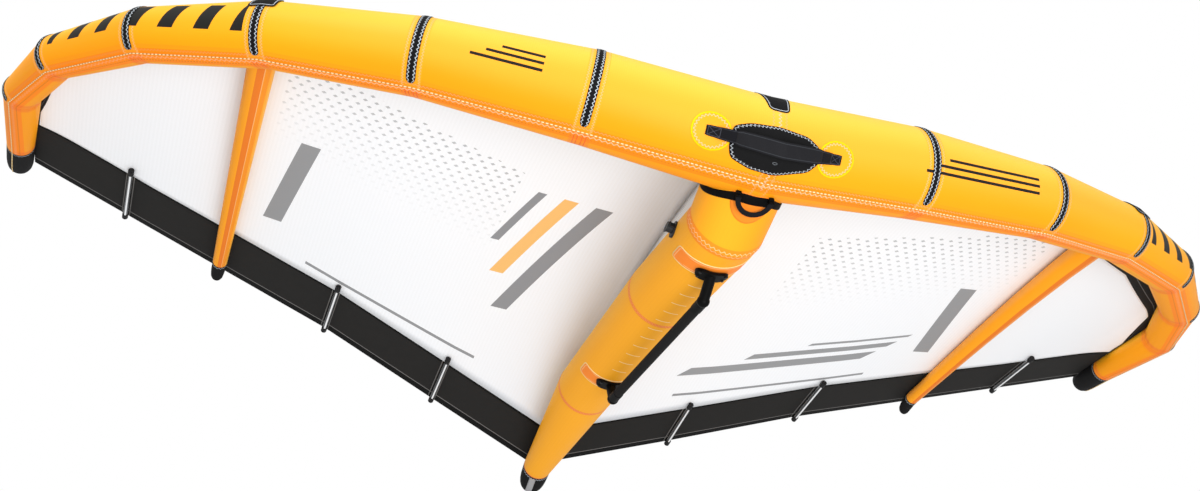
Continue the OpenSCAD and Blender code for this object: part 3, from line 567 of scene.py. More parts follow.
def side_cloth():
    """Side strut casing: the second map is its angle in quarter turns from its lowest line."""
    p = Cloth("side_cloth", (255, 166, 28), rough=0.52)
    turn = p.maps[2]
    # Painted shading: paler towards both sides of the round strut, away from its lowest line
    p.over((250, 186, 76), turn.soft(0.5, 0.75) * 0.8)
    p.over((246, 170, 84), turn.soft(-0.6, -0.95) * 0.6)
    p.over((252, 156, 28), p.noise(3.0) * 0.3)
    p.over((240, 140, 34), turn.between(0.2, 0.5) * 0.8)
    p.over((230, 114, 34), turn.between(-0.16, 0.2) * 0.85)
    p.over((246, 196, 130), turn.near(0.2, 0.02) * 0.75)
    p.raise_by(p.noise(16.0) * 1.2)
    return p.done(0.25, 0.0008)


def rod_with_painted_highlight():
    """Clear rod with painted highlight and reflection by the way each face points: a light line on its
    lowest side between darker flanks, with pale edges.
    """
    p = Paint("batten_rod", (58, 60, 62), rough=0.3, coat=0.2)
    up = p.parts(p.node("ShaderNodeNewGeometry").outputs["Normal"])[2]
    # Painted highlight on the lowest side and painted pale reflections on the sides and top
    p.over((236, 238, 240), (up * -1).soft(0.9, 0.95))
    p.over((150, 152, 154), up.soft(-0.35, -0.15))
    p.raise_by(p.noise(200.0))
    return p.done(0.05, 0.0004)


def piping_cloth():
    """Cord laid in small turns of light and dark thread; u runs along it."""
    p = Paint("piping_cord", (246, 226, 176), spec=0.2)
    turn = (p.uv()[0] / 0.0128).frac()
    p.over((198, 146, 74), turn.less(0.45))
    p.raise_by((turn - 0.5).abs() * 2.0)
    return p.done(0.5, 0.001)


TAPE_LINE = (0.0028, 0.012, 0.0013, (200, 209, 216))
M = {
    "tube": tube_cloth(),
    "strut": strut_cloth(),
    "band": band_cloth(),
    "white": white_ripstop(),
    "patch": patch_cloth(),
    "round": round_patch(),
    "web": web_cloth(),
    "side": side_cloth(),
    "bead": piping_cloth(),
    "strap": webbing_cloth(),
    "rod": rod_with_painted_highlight(),
    "black": black_cloth("trim_cloth", (5, 5, 5)),
    "tape": black_cloth("tape_cloth", (18, 18, 20), (0.005, *TAPE_LINE), (0.022, *TAPE_LINE)),
    "pad": black_cloth("pad_cloth", (18, 18, 19), (0.0062, 0.003, 0.012, 0.0013, (186, 192, 198))),
    "scuff": black_cloth("scuff_cloth", (18, 18, 19), (0.006, 0.0, 0.02, 0.0013, (190, 196, 204))),
    "vent": black_cloth("vent_eyelet", (22, 22, 23), (0.0016, 0.0, 0.02, 0.001, (96, 100, 104))),
    "cap": black_cloth("cap_cloth", (22, 22, 23), (0.008, 0.003, 0.011, 0.0016, (170, 176, 182))),
    "sleeve": black_cloth("sleeve_cloth", (27, 27, 30), (0.004, 0.0, 0.02, 0.0008, (52, 54, 58))),
    "tip": black_cloth("tip_cloth", (32, 31, 31), (0.04, 0.0, 0.02, 0.0014, (130, 130, 130))),
    "margin": plain("loop_margin", (240, 132, 30), 0.6, spec=0.2),
    "rod_cap": plain("batten_cap", (26, 26, 27), 0.55, spec=0.15),
    "foam": plain("grip_foam", (26, 25, 25), 0.8, spec=0.1, grain=120.0, bump=0.3),
    "alloy": plain("boom_alloy", (40, 40, 42), 0.45, metal=0.6),
    "plastic": plain("black_plastic", (4, 4, 4), 0.5, spec=0.08),
    "steel": plain("screw_steel", (170, 172, 174), 0.35, metal=1.0),
    "dark_screw": plain("black_screw", (24, 24, 25), 0.4, spec=0.2),
    "valve": plain("valve_plastic", (40, 41, 43), 0.5, spec=0.15),
    "film": plain("bladder_film", (214, 220, 224), 0.35),
    "webbing": plain("grey_webbing", (150, 150, 152), 0.6),
}


# Mesh building
def add(name, data):
    ob = bpy.data.objects.new(name, data)
    bpy.context.scene.collection.objects.link(ob)
    return ob


def make(name, verts, faces, mat, maps=(), node=None, slot="black_cloth", body="wing", smooth=True,
         sign=1):
    """A piece: verts in millimetres from the nose, and maps of one (u, v) in metres for each vertex.
    Sign -1 mirrors it to the left."""
    v = np.asarray(verts, float)
    if sign < 0:
        v = v * [-1, 1, 1]
        faces = [f[::-1] for f in faces]
    v = (v + NOSE) * MM
    me = bpy.data.meshes.new(name)
    me.from_pydata(v, [], faces, shade_flat=not smooth)
    for layer, data in zip(("UVMap", "Seam"), maps):
        lay = me.uv_layers.new(name=layer)
        for loop in me.loops:
            lay.data[loop.index].uv = data[loop.vertex_index]
    me.materials.append(M[mat])
    me.update()
    ob = add(name, me)
    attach(ob, body)
    if node:
        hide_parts(node)
    return ob


def grid_faces(rows, n, start=0, turned=False, ring=False):
    out = []
    for r in range(rows - 1):
        for c in range(n if ring else n - 1):
            a = start + r * n + c
            b = start + r * n + (c + 1) % n
            q = (a, a + n, b + n, b)
            out.append(q[::-1] if turned else q)
    return out


def sheet_faces(rows, n):
    """Faces of a thin closed solid of two grids; the first one's normal is rows x columns."""
    m = rows * n
    faces = grid_faces(rows, n) + grid_faces(rows, n, m, True)
    for c in range(n - 1):
        a, b = c, (rows - 1) * n + c
        faces.append((a, a + 1, m + a + 1, m + a))
        faces.append((b + 1, b, m + b, m + b + 1))
    for r in range(rows - 1):
        a, b = r * n, r * n + n - 1
        faces.append((a + n, a, m + a, m + a + n))
        faces.append((b, b + n, m + b + n, m + b))
    return faces


def skin(name, stations, turns, point, mat, **rest):
    """An open tube of cloth. point(f, a) gives a place and its maps."""
    verts, *maps = zip(*[point(f, a) for f in stations for a in turns])
    faces = grid_faces(len(stations), len(turns), turned=True)
    make(name, verts, faces, mat, maps, **rest)


def strip(name, rows, cols, point, mat, over=False, **rest):
    """A thin closed sheet. point(r, c) gives its upper and its lower place, then its maps."""
    top, low, *maps = zip(*[point(r, c) for r in rows for c in cols])
    faces = sheet_faces(len(rows), len(cols))
    if over:
        faces = [q[::-1] for q in faces]
    return make(name, top + low, faces, mat, [m + m for m in maps], **rest)


def capped(name, steps, shape, n, place, reach, r, **rest):
    """A cap of rings of n points. place(f, k, a) is at part f of its reach and k of its radius."""
    verts, uv = [], []
    for f, k in zip(steps, shape):
        for c in range(n):
            a = 360 * c / n
            verts.append(place(f, k, a))
            uv.append((rad(a) * r * MM, f * reach * MM))
    faces = grid_faces(len(steps), n, turned=True, ring=True)
    last = (len(steps) - 1) * n
    faces.append(tuple(range(last, last + n)))
    make(name, verts, faces, "cap", [uv, [(v, u) for u, v in uv]], **rest)


def sweep(name, path, section, mat, maps=(), **rest):
    """A section of 2-D points swept along a path of (point, side, up) frames, with flat ends."""
    rows, n = len(path), len(section)
    verts = [p + side * x + up * y for p, side, up in path for x, y in section]
    faces = grid_faces(rows, n, ring=True)
    faces.append(tuple(range(n)))
    faces.append(tuple(range((rows - 1) * n, rows * n))[::-1])
    make(name, verts, faces, mat, maps, **rest)


def frames(pts, hint=(0, 0, 1.0)):
    """Frames along a line of points; the hint is the way up."""
    out = []
    for i, p in enumerate(pts):
        d = unit(pts[min(i + 1, len(pts) - 1)] - pts[max(i - 1, 0)])
        side = unit(np.cross(d, hint))
        out.append((p, side, np.cross(side, d)))
    return out


def oval(x, y, rx, ry, n):
    return [(x + rx * cos(360 * k / n), y + ry * sin(360 * k / n)) for k in range(n)]


def run_along(points):
    """Distance of each point from the first, along the line."""
    return np.concatenate([[0], np.cumsum(norm(np.diff(points, axis=0), axis=1))])


def grid_area(g):
    d1 = g[1:, 1:] - g[:-1, :-1]
    d2 = g[1:, :-1] - g[:-1, 1:]
    return float(0.5 * norm(np.cross(d1, d2), axis=2).sum())


# Leading edge tube
AROUND, ALONG = 96, 18
GATHER_DEPTH, GATHER_REACH, GATHERS = 1.8, 55, 16
GATHER_TURN, FULL_BEND = 20, 20
TIP_STEPS = (0, 0.3, 0.6, 0.75, 0.85, 0.92, 0.96, 0.985, 1.0)
TIP_SHAPE = (1, 0.995, 0.985, 0.955, 0.905, 0.82, 0.71, 0.58, 0.34)
PIPING_TIP = ((0.15, 0.998), (0.4, 0.992), (0.6, 0.985), (0.8, 0.932), (0.9, 0.85))
PIPING_R, PIPING_SIDES, PIPING_STOPS = 1.8, 8, 141
TAPE_ROWS, TAPE_COLS = 9, 48
TAPE_CROWN, TAPE_EDGE = 1.9, 1.3
TAPE_BELOW, TAPE_ABOVE, TAPE_NARROW = 9, 8, 0.55


def wrinkle(s, a):
    """Soft gathers of the casing next to a mitre, strongest on the inside of the bend."""
    i = round(s)
    if not 1 <= i <= PANELS - 1:
        return 0.0
    length = LE_LEN[i - 1] if s < i else LE_LEN[i]
    near = math.exp(-((abs(s - i) * length / GATHER_REACH) ** 2))
    inside = max(0.0, cos(a + GATHER_TURN)) ** 2
    bend = abs(LE_SWEEP[i] - LE_SWEEP[i - 1]) / FULL_BEND
    return -GATHER_DEPTH * bend * inside * near * (0.5 + 0.5 * cos(a * GATHERS))


def le_skin(i, side, sign):
    """One casing panel, with closer rows towards the mitres."""

    def point(f, turn):
        s = i + f
        a = piping_angle(s) + turn
        uv = (rad(-turn) * le_r(s) * MM, (LE_RUN[i] + f * LE_LEN[i]) * MM)
        seam = (min(f, 1 - f) * LE_LEN[i] * MM, 0.5 + 0.5 * sin(a))
        return le_pt(s, a, wrinkle(s, a)), uv, seam

    stations = [0.5 - 0.5 * cos(180 * r / ALONG) for r in range(ALONG + 1)]
    skin(
        f"le_skin_{side}_{i + 1}", stations, linspace(-180, 180, AROUND + 1), point, "tube",
        slot="yellow_cloth", node=f"le_panel_{side}_{i + 1}", sign=sign,
    )


def tip_pt(f, k, a, lift):
    """Point of the tip cap at part f of its length, where it has k of the tube's radius."""
    return LE_C[-1] + LE_DIR[-1] * f * TIP_CAP_LEN + (LE_D[-1] / 2 * k + lift) * le_out(-1, a)


def piping(side, sign):
    """Beaded cord along the underside, carried over the tip cap."""
    pts = [le_pt(s, piping_angle(s), 1.2) for s in linspace(0.0, PANELS, PIPING_STOPS)]
    pts += [tip_pt(f, k, PIPING_ANGLE[-1], 1.0) for f, k in PIPING_TIP]
    uv = [(r * MM, 0.0) for r in run_along(pts) for _ in range(PIPING_SIDES)]
    section = oval(0, 0, PIPING_R, PIPING_R, PIPING_SIDES)
    name = f"piping_{side}"
    sweep(name, frames(pts), section, "bead", [uv], slot="yellow_cloth", sign=sign)


def seam_tape(i, side, sign):
    """Tape over mitre i, from the piping, where it is narrower, to the canopy's seam."""
    angles = linspace(piping_angle(i) - TAPE_BELOW, seam_angle(i) + TAPE_ABOVE, TAPE_COLS)

    def point(w, k):
        narrow = max(0.0, 1 - k * (TAPE_COLS / 2) / (TAPE_COLS - 1)) ** 2
        across = w * (1 - TAPE_NARROW * narrow)
        s = i + across / (LE_LEN[i] if across > 0 else LE_LEN[i - 1])
        crown = TAPE_CROWN if abs(w) < TAPE_W / 2 - 1 else TAPE_EDGE
        along = rad(angles[k]) * le_r(i) * MM
        top, low = (le_pt(s, angles[k], lift) for lift in (crown, SEWN))
        return top, low, (w * MM, along), ((w + TAPE_W / 2) * MM, along)

    widths = linspace(-TAPE_W / 2, TAPE_W / 2, TAPE_ROWS)
    node = "le_seam_tapes" if side == "left" and i == 1 else None
    name = f"seam_tape_{side}_{i}"
    strip(name, widths, range(TAPE_COLS), point, "tape", node=node, sign=sign)


for side, sign in SIDES:
    for i in range(PANELS):
        le_skin(i, side, sign)
    capped(
        f"le_cap_{side}", TIP_STEPS, TIP_SHAPE, AROUND, lambda f, k, a: tip_pt(f, k, a, 0.4 * k),
        TIP_CAP_LEN, LE_D[-1] / 2, node=f"le_tip_cap_{side}", sign=sign,
    )
    piping(side, sign)
    for i in range(1, PANELS):
        seam_tape(i, side, sign)


# Flat badges on a curved surface: pads and patches
def resample(points, n):
    pts = np.asarray(points + points[:1], float)
    run = run_along(pts)
    at = linspace(0, run[-1], n, endpoint=False)
    return np.stack([np.interp(at, run, pts[:, 0]), np.interp(at, run, pts[:, 1])], 1), at


def rounded(points, r, steps=5):
    """A polygon with its corners rounded."""
    out, n = [], len(points)
    for k in range(n):
        a, b, c = (np.asarray(points[(k + d) % n], float) for d in (-1, 0, 1))
        p, q = b + unit(a - b) * r, b + unit(c - b) * r
        for f in linspace(0, 1, steps):
            out.append(tuple((1 - f) ** 2 * p + 2 * f * (1 - f) * b + f * f * q))
    return out


def badge(name, outline, place, mat, top, low=SEWN, n=96, rings=8, **rest):
    """outline: points (x, y), anticlockwise from outside. place(x, y, lift) is in 3-D, and top(f)
    the height of the upper face at part f of the way to the edge."""
    edge, at = resample(outline, n)
    mid = edge.mean(axis=0)
    arm = edge - mid
    tang = np.roll(edge, -1, axis=0) - np.roll(edge, 1, axis=0)
    tang /= norm(tang, axis=1)[:, None]
    reach = np.abs(arm[:, 0] * tang[:, 1] - arm[:, 1] * tang[:, 0])
    verts, uv = [place(*mid, top(0.0))], [tuple(mid * MM)]
    seam = [(float(reach.min()) * MM, 0.0)]
    parts = [(r / rings) ** 0.7 for r in range(1, rings + 1)]
    for f, high in [(f, top(f)) for f in parts] + [(1.0, low)]:
        for k in range(n):
            q = mid + arm[k] * f
            verts.append(place(*q, high))
            uv.append(tuple(q * MM))
            seam.append((reach[k] * (1 - f) * MM, at[k] * MM))
    faces = [(0, 1 + k, 1 + (k + 1) % n) for k in range(n)]
    faces += grid_faces(rings + 1, n, 1, ring=True)
    return make(name, verts, faces, mat, [uv, seam], **rest)


def on_nose(middle):
    """A place function near midspan: x to the left, y the arc up from the middle angle."""
    r = LE_D[0] / 2
    return lambda x, y, lift: le_pt(-x / LE_C[1][0], middle - math.degrees(y / r), lift)


# Front handle: pad, patches, strap and the sleeve round the strap
on_front = on_nose(215)
PATCH_X, PATCH_R, PATCH_HIGH = 181, 56, 1.7
PAD_EDGE, PAD_RISE, PAD_FULL = 2.5, 11.5, 3.2
STRAP_LEN, STRAP_HALF, STRAP_THICK = 394, 15.5, 2.4
STRAP_LOW, STRAP_HIGH, STRAP_ENDS = 2.1, 58.3, 0.88
STRAP_BLUNT, STRAP_TAPER, STRAP_NARROW = 3, 14, 0.14
SLEEVE_REACH, SLEEVE_HALF = 0.62, 17.2
FOLD_ALONG, FOLD_ACROSS = 34, 2.2
STRAP_ROWS, STRAP_COLS = 61, 9
PAD_CORNERS = [
    (126, 34), (80, 54), (0, 66), (-88, 51), (-127, 24), (-133, -18),
    (-108, -50), (-18, -74), (58, -75), (115, -58), (128, -26),
]


def strap_pt(u, y, lift):
    arch = 1 - min(1, abs(u) / STRAP_ENDS) ** 2.6
    high = STRAP_LOW + (STRAP_HIGH - STRAP_LOW) * arch
    return on_front(-u * STRAP_LEN / 2, y, high + lift)


def strap_band(name, reach, half, low, high, mat, crown=0.0, ripple=0.0, node=None):
    """A band along the strap's curve, narrower at its ends."""

    def point(u, v):
        along = u * STRAP_LEN / 2
        end = min(1.0, ((reach - abs(u)) * STRAP_LEN / 2 + STRAP_BLUNT) / STRAP_TAPER)
        w = half * (1 - STRAP_NARROW + STRAP_NARROW * end)
        fold = ripple * math.sin(u * FOLD_ALONG + v * FOLD_ACROSS) * (1 - v * v)
        top = strap_pt(u, v * w, high + crown * (1 - v**4) * end + fold)
        seam = (half * (1 - abs(v)) * MM, along * MM)
        return top, strap_pt(u, v * w, low), (along * MM, v * w * MM), seam

    rows, cols = linspace(-reach, reach, STRAP_ROWS), linspace(-1, 1, STRAP_COLS)
    return strip(name, rows, cols, point, mat, node=node)


pad = badge(
    "handle_cushion", rounded(PAD_CORNERS, 13), on_front, "pad",
    lambda f: PAD_EDGE + PAD_RISE * (1 - f**PAD_FULL), n=160, rings=12, node="handle_pad",
)
badge(
    "handle_vent", oval(0, -36, 8, 4.5, 24), on_front, "vent", lambda f: 13.9 - 0.6 * f,
    low=8.0, n=48, rings=3, slot=None,
)
for side, sign in SIDES:
    badge(
        f"handle_patch_{side}", oval(-sign * PATCH_X, 0, PATCH_R, PATCH_R, 64), on_front, "round",
        lambda f: PATCH_HIGH, slot="yellow_cloth", node="handle_patches" if side == "left" else None,
    )
strap = strap_band("handle_webbing", 1.0, STRAP_HALF, 0.0, STRAP_THICK, "strap", node="handle_strap")
strap_run = run_along([strap_pt(u, 0, 1) for u in linspace(-1, 1, 201)])[-1] * MM
sleeve = strap_band("handle_sleeve", SLEEVE_REACH, SLEEVE_HALF, -1.2, 4.4, "sleeve", 2.2, 0.9)

# Scuff pads at midspan and at the third seams
SCUFF_A, THIRD_A, THIRD_R = 143, 140, 98
SCUFF_CORNERS = [(-30, -68), (30, -68), (52, 62), (-52, 62)]
THIRD_CORNERS = [(-42, -40), (42, -40), (36, 44), (-36, 44)]


def third_scuff(side, sign):
    def place(x, y, lift):
        s = 3 + x / (LE_LEN[3] if x > 0 else LE_LEN[2])
        return le_pt(sign * s, THIRD_A - math.degrees(y / THIRD_R), lift)

    ring = rounded(THIRD_CORNERS, 13)[::-sign]
    badge(f"scuff_{side}", ring, place, "scuff", lambda f: 3.8, low=2.1)


badge(
    "scuff_centre", rounded(SCUFF_CORNERS, 14), on_nose(SCUFF_A), "scuff", lambda f: 1.8,
    node="le_scuff_pads",
)
for side, sign in SIDES:
    third_scuff(side, sign)

# Canopy, trailing edge bands and tip panels
CLOTH = np.array([0, 0, 1.2])
CANOPY_END, TIP_START = 5.97, 3.02
STATIONS = sorted(set(np.round(linspace(0, PANELS, 113), 4)) | {CANOPY_END})


def cloth(name, stations, rows, share, seam_of, mat, rests_on, **rest):
    """A sheet between two parts of each rib."""
    grid = []
    for s in stations:
        a, b = share(s)
        grid.append([rib(s, a + (b - a) * f) for f in linspace(0, 1, rows)])
    grid = np.array(grid)

    def point(r, c):
        p = grid[r, c]
        return p + CLOTH, p, (p[0] * MM, p[1] * MM), seam_of(p)

    ob = strip(name, range(len(stations)), range(rows), point, mat, **rest)
    grid = grid * MM
    area = grid_area(grid)
    width = float(norm(np.diff(grid, axis=1), axis=2).sum(axis=1).max())
    span = float(grid[..., 0].max() - grid[..., 0].min())


def from_te(p):
    return ((te_pt(p[0])[1] - p[1]) * MM, p[0] * MM)


def from_tip_edge(p):
    s = rib_s(p[0])
    return (abs(p[1] - rib(s, tip_t(s))[1]) * MM, p[0] * MM)


INNER = [s for s in STATIONS if s <= CANOPY_END]
OUTER = [TIP_START] + [s for s in STATIONS if s > TIP_START]
for side, sign in SIDES:
    canopy = f"canopy_skin_{side}"
    cloth(
        canopy, INNER, 41, lambda s: (tip_t(s), band_t(s)), from_te, "white", "strut_keel",
        slot="white_ripstop", node=f"canopy_{side}", sign=sign,
    )
    cloth(
        f"te_skin_{side}", STATIONS, 9, lambda s: (band_t(s), 1.0), from_te, "band", canopy,
        node=f"te_band_{side}", sign=sign,
    )
    cloth(
        f"tip_skin_{side}", OUTER, 9, lambda s: (0.0, tip_t(s)), from_tip_edge, "tip", canopy,
        node=f"tip_panel_{side}", sign=sign,
    )

# Web between strut and canopy
KEEL_FOOT, KEEL_STOPS, KEEL_ROWS = 36, 41, 7
KEEL_HALF = np.array([0.6, 0, 0])


def keel_grid():
    """Rows of points up from the strut's back, or from the tube, to the canopy."""
    foot = ring_pt(0, KEEL_FOOT, SEWN)
    line = np.array([foot] + [strut_ring(k, 90, SEWN) for k in range(1, 5)])
    tube_r = LE_D[0] / 2 + 2 * SEWN
    out = []
    for t in linspace(0.0, 1.0, KEEL_STOPS):
        high = rib(0, t) - [0, 0, SEWN]
        y = high[1]
        if y <= foot[1]:
            z = math.sqrt(max(0.0, tube_r**2 - y * y))
        else:
            z = np.interp(y, line[:, 1], line[:, 2])
        low = np.array([0.0, y, min(z, high[2] - 0.5)])
        out.append([low + (high - low) * f for f in linspace(0, 1, KEEL_ROWS)])
    return np.array(out)


keel_mid = keel_grid()
keel = strip(
    "strut_keel", range(KEEL_STOPS), range(KEEL_ROWS),
    lambda r, c: (keel_mid[r, c] + KEEL_HALF, keel_mid[r, c] - KEEL_HALF),
    "web", slot="grey_mesh", node="strut_web",
)
keel_area = grid_area(keel_mid * MM)
keel_len = float(run_along(keel_mid[:, 0])[-1]) * MM
keel_high = float(norm(keel_mid[:, -1] - keel_mid[:, 0], axis=1).max()) * MM

# Centre strut
STRUT_PANELS = (("strut_nose", 12), ("strut_front", 24), ("strut_middle", 30), ("strut_tail", 28))
LOAD_PATCHES = (("front", 371, 138, 22), ("rear", 1341, 126, 16))
LOAD_FRONT, LOAD_BACK = -38, 36


def strut_skin(k, node, steps):
    """One casing panel; the second map has the distance to a seam, and marks the nose's wide one."""
    run = norm(STRUT_C[k + 1] - STRUT_C[k])

    def point(f, a):
        front = f * run if k > 0 else math.inf
        back = (1 - f) * run
        wide = k == 0 or (k == 1 and front < back)
        arc = rad(a - 270) * (STRUT_D[k] * (1 - f) + STRUT_D[k + 1] * f) / 2
        return strut_pt(k + f, a), (arc * MM, (k + f) * 0.5), (min(front, back) * MM, float(wide))

    skin(
        f"strut_skin_{k + 1}", linspace(0, 1, steps + 1), linspace(90, 450, AROUND + 1), point,
        "strut", slot="orange_cloth", node=node,
    )


def under_strut(y0):
    """A place function: x is the arc left of the strut's lowest line, y the run aft of y0."""

    def place(x, y, lift):
        s = strut_s(y0 + y)
        r = np.interp(s, range(5), STRUT_D) / 2
        return strut_pt(s, 270 + math.degrees(x / r), lift)

    return place


for k, (node, steps) in enumerate(STRUT_PANELS):
    strut_skin(k, node, steps)
for name, y0, reach, lean in LOAD_PATCHES:
    corners = [
        (-reach, LOAD_FRONT - lean), (reach, LOAD_FRONT + lean),
        (reach, LOAD_BACK + lean), (-reach, LOAD_BACK - lean),
    ]
    badge(
        f"load_patch_{name}", rounded(corners, 16), under_strut(y0), "patch", lambda f: PATCH_HIGH,
        n=160, rings=14, slot="flame_cloth", node="strut_patches" if name == "front" else None,
    )

# Tail cap with its webbing pull
TAIL_DROOP, CAP_GAP = 25, 0.2
TAIL_WAY = np.array([0, cos(TAIL_DROOP), -sin(TAIL_DROOP)])
TAIL_STEPS = (0, 0.2, 0.45, 0.62, 0.75, 0.85, 0.92, 0.97, 1.0)
TAIL_SHAPE = (1, 0.985, 0.955, 0.9, 0.825, 0.72, 0.61, 0.47, 0.28)
PULL_A, PULL_HALF, PULL_THICK = 286, 13, 2.0


def tail_pt(f, k, a, lift=0.0):
    """Point of the tail cap, in the terms of tip_pt."""
    n = unit(STRUT_N[4] * (1 - f) + TAIL_WAY * f)
    middle = STRUT_C[4] + STRUT_N[4] * CAP_GAP + TAIL_WAY * f * TAIL_LEN
    return middle + ((STRUT_D[4] / 2 + SEWN) * k + lift) * strut_out(n, a)


def pull_pt(f, q):
    k = np.interp(f, TAIL_STEPS, TAIL_SHAPE)
    a = PULL_A + PULL_HALF * q / max(0.5, k)
    return tail_pt(f, k, a, PULL_THICK), tail_pt(f, k, a, SEWN)


capped(
    "tail_cap_skin", TAIL_STEPS, TAIL_SHAPE, AROUND, tail_pt, TAIL_LEN, STRUT_D[4] / 2,
    node="strut_tail_cap",
)
strip(
    "tail_pull", linspace(0.06, 0.9, 15), linspace(-1, 1, 5), pull_pt, "webbing", over=True,
    slot="grey_mesh",
)

# Black trim round the strut's foot: rows at a distance from the tube and a height
TRIM_ROWS = ((0.5, 2.6), (3, 3.2), (10, 3.2), (16, 3.2), (20, 2.6))
TRIM_LOW, TRIM_COLS, TRIM_R = 0.2, 121, 0.12


def le_gap(p):
    """How far a point is outside the leading edge tube, near midspan."""
    q = np.array([abs(p[0]), p[1], p[2]])
    f = float(np.clip(q @ LE_DIR[0] / LE_LEN[0], 0, 1))
    return norm(q - LE_DIR[0] * f * LE_LEN[0]) - (LE_D[0] + (LE_D[1] - LE_D[0]) * f) / 2


def foot_s(a, dist):
    """Station on the strut, at angle a, that is dist away from the tube."""
    lo, hi = 0.0, 1.2
    for _ in range(40):
        mid = (lo + hi) / 2
        close = le_gap(strut_pt(mid, a)) < dist
        lo, hi = (mid, hi) if close else (lo, mid)
    return lo


def trim_pt(row, a):
    dist, high = row
    s = foot_s(a, dist)
    return strut_pt(s, a, high), strut_pt(s, a, TRIM_LOW), (rad(a) * TRIM_R, dist * MM)


strip(
    "strut_foot_trim", TRIM_ROWS, linspace(90, 450, TRIM_COLS), trim_pt, "black", over=True,
    node="strut_nose_trim",
)

# Leash loop on two tabs, over a coloured margin
LOOP_R, LOOP_STOPS, LOOP_TILT = 50, 41, 4
MARGIN_R, MARGIN_LOW, MARGIN_Y = 67, -14, 88
HINGE_RUN, HINGE_OUT = 60, 8
LOOP_DOWN = -strut_up(STRUT_DIR[0])
HINGE = STRUT_C[0] + HINGE_RUN * STRUT_DIR[0] + (STRUT_D[0] / 2 + HINGE_OUT) * LOOP_DOWN
LOOP_ENDS = [(side, HINGE + [sign * LOOP_R, 0, 0]) for side, sign in SIDES]
TAB_STOPS = (22, 10, 5.2)
TAB_SECTION = ((-9, -7), (9, -7), (9, 7), (-9, 7))
LOOP_SECTION = (
    (-7.4, -1.9), (-6.6, -2.2), (6.6, -2.2), (7.4, -1.9),
    (7.4, 1.9), (6.6, 2.2), (-6.6, 2.2), (-7.4, 1.9),
)
LOOP_EDGES = (0.0, 0.0, 0.0148, 0.0148)
LOOP_STEP, LOOP_FACE = 0.0035, 0.004
EYE_SIDE, EYE_R = np.array([8, 0, 0]), 4


def leash_webbing():
    """Half a ring of webbing, which swings about its two ends."""
    turn = math.degrees(math.atan2(-STRUT_DIR[0][2], STRUT_DIR[0][1])) + LOOP_TILT
    loop_y = np.array([0, cos(turn), -sin(turn)])
    loop_z = np.array([0, sin(turn), cos(turn)])
    path = []
    for a in linspace(0, 180, LOOP_STOPS):
        out = loop_y * sin(a) + [cos(a), 0, 0]
        path.append((HINGE + out * LOOP_R, out, loop_z))
    places = [(r, c) for r in range(LOOP_STOPS) for c in range(len(LOOP_SECTION))]
    uv = [(c * LOOP_FACE, r * LOOP_STEP) for r, c in places]
    seam = [(LOOP_EDGES[c // 2], r * LOOP_STEP) for r, c in places]
    sweep("leash_webbing", path, LOOP_SECTION, "strap", [uv, seam], body="loop", node="leash_loop")


half_disc = oval(0, 0, MARGIN_R, MARGIN_R, 48)[:25]
margin = rounded([(MARGIN_R, MARGIN_LOW)] + half_disc + [(-MARGIN_R, MARGIN_LOW)], 2)
badge("loop_margin", margin, under_strut(MARGIN_Y), "margin", lambda f: 1.0, slot="orange_cloth")
for side, end in LOOP_ENDS:
    path = frames([end - d * LOOP_DOWN for d in TAB_STOPS], hint=(1.0, 0, 0))
    sweep(f"loop_tab_{side}", path, TAB_SECTION, "black", smooth=False)
leash_webbing()
for side, end in LOOP_ENDS:
    path = frames([end - EYE_SIDE, end + EYE_SIDE])
    sweep(f"loop_eye_{side}", path, oval(0, 0, EYE_R, EYE_R, 20), "black", body="loop")

# Side struts, which are straight between a few stops
SIDE_S, SIDE_TOE, SIDE_SHORT = 3.05, 0.06, 86
SIDE_CAP, SIDE_CAP_R, SIDE_DROOP = 85, 22, 0.25
SIDE_D = (90, 51)
AFT = (0, 1, 0)
SIDE_PARTS, SIDE_ROWS, SIDE_AROUND = 5, 41, 48
SIDE_STEPS = (0, 0.3, 0.55, 0.72, 0.87, 0.95, 1)
SIDE_SHAPE = (1.01, 0.99, 0.975, 0.92, 0.84, 0.69, 0.48)
SIDE_END = te_pt(seam_pt(SIDE_S)[0])[1] - SIDE_SHORT
CANOPY_TILT, SIDE_GAP = 12, 1.5


def side_r(f):
    return (SIDE_D[0] + (SIDE_D[1] - SIDE_D[0]) * f) / 2


def side_stop(k):
    """Middle of the strut at stop k, hung under the canopy."""
    f = k / SIDE_PARTS
    s = SIDE_S + SIDE_TOE * (1 - f)
    a = seam_pt(s)
    t = (SIDE_END - a[1]) * f / (te_pt(a[0])[1] - a[1])
    drop = (side_r(f) + SEWN) / cos(CANOPY_TILT) + SIDE_GAP
    return rib(s, t) - [0, 0, drop]


def side_c(f):
    return chain(side_stop, f * SIDE_PARTS, SIDE_PARTS)


def on_side_cap(f, k, a):
    middle = side_c(1) + SIDE_CAP * f * np.array([0, 1, -SIDE_DROOP * f]) + [0, CAP_GAP, 0]
    return middle + side_r(1) * k * strut_out(AFT, a)


def side_skin(side, sign):
    def point(f, a):
        uv = (rad(a - 270) * side_r(f) * MM, f * 1.2)
        return side_c(f) + side_r(f) * strut_out(AFT, a), uv, ((270 - a) / 90 * sign, 0.0)

    skin(
        f"side_skin_{side}", linspace(0, 1, SIDE_ROWS), linspace(90, 450, SIDE_AROUND + 1), point,
        "side", slot="orange_cloth", node=f"side_strut_{side}", sign=sign,
    )


for side, sign in SIDES:
    side_skin(side, sign)
    capped(
        f"side_cap_{side}", SIDE_STEPS, SIDE_SHAPE, SIDE_AROUND, on_side_cap, SIDE_CAP,
        SIDE_CAP_R, node=f"side_strut_cap_{side}", sign=sign,
    )

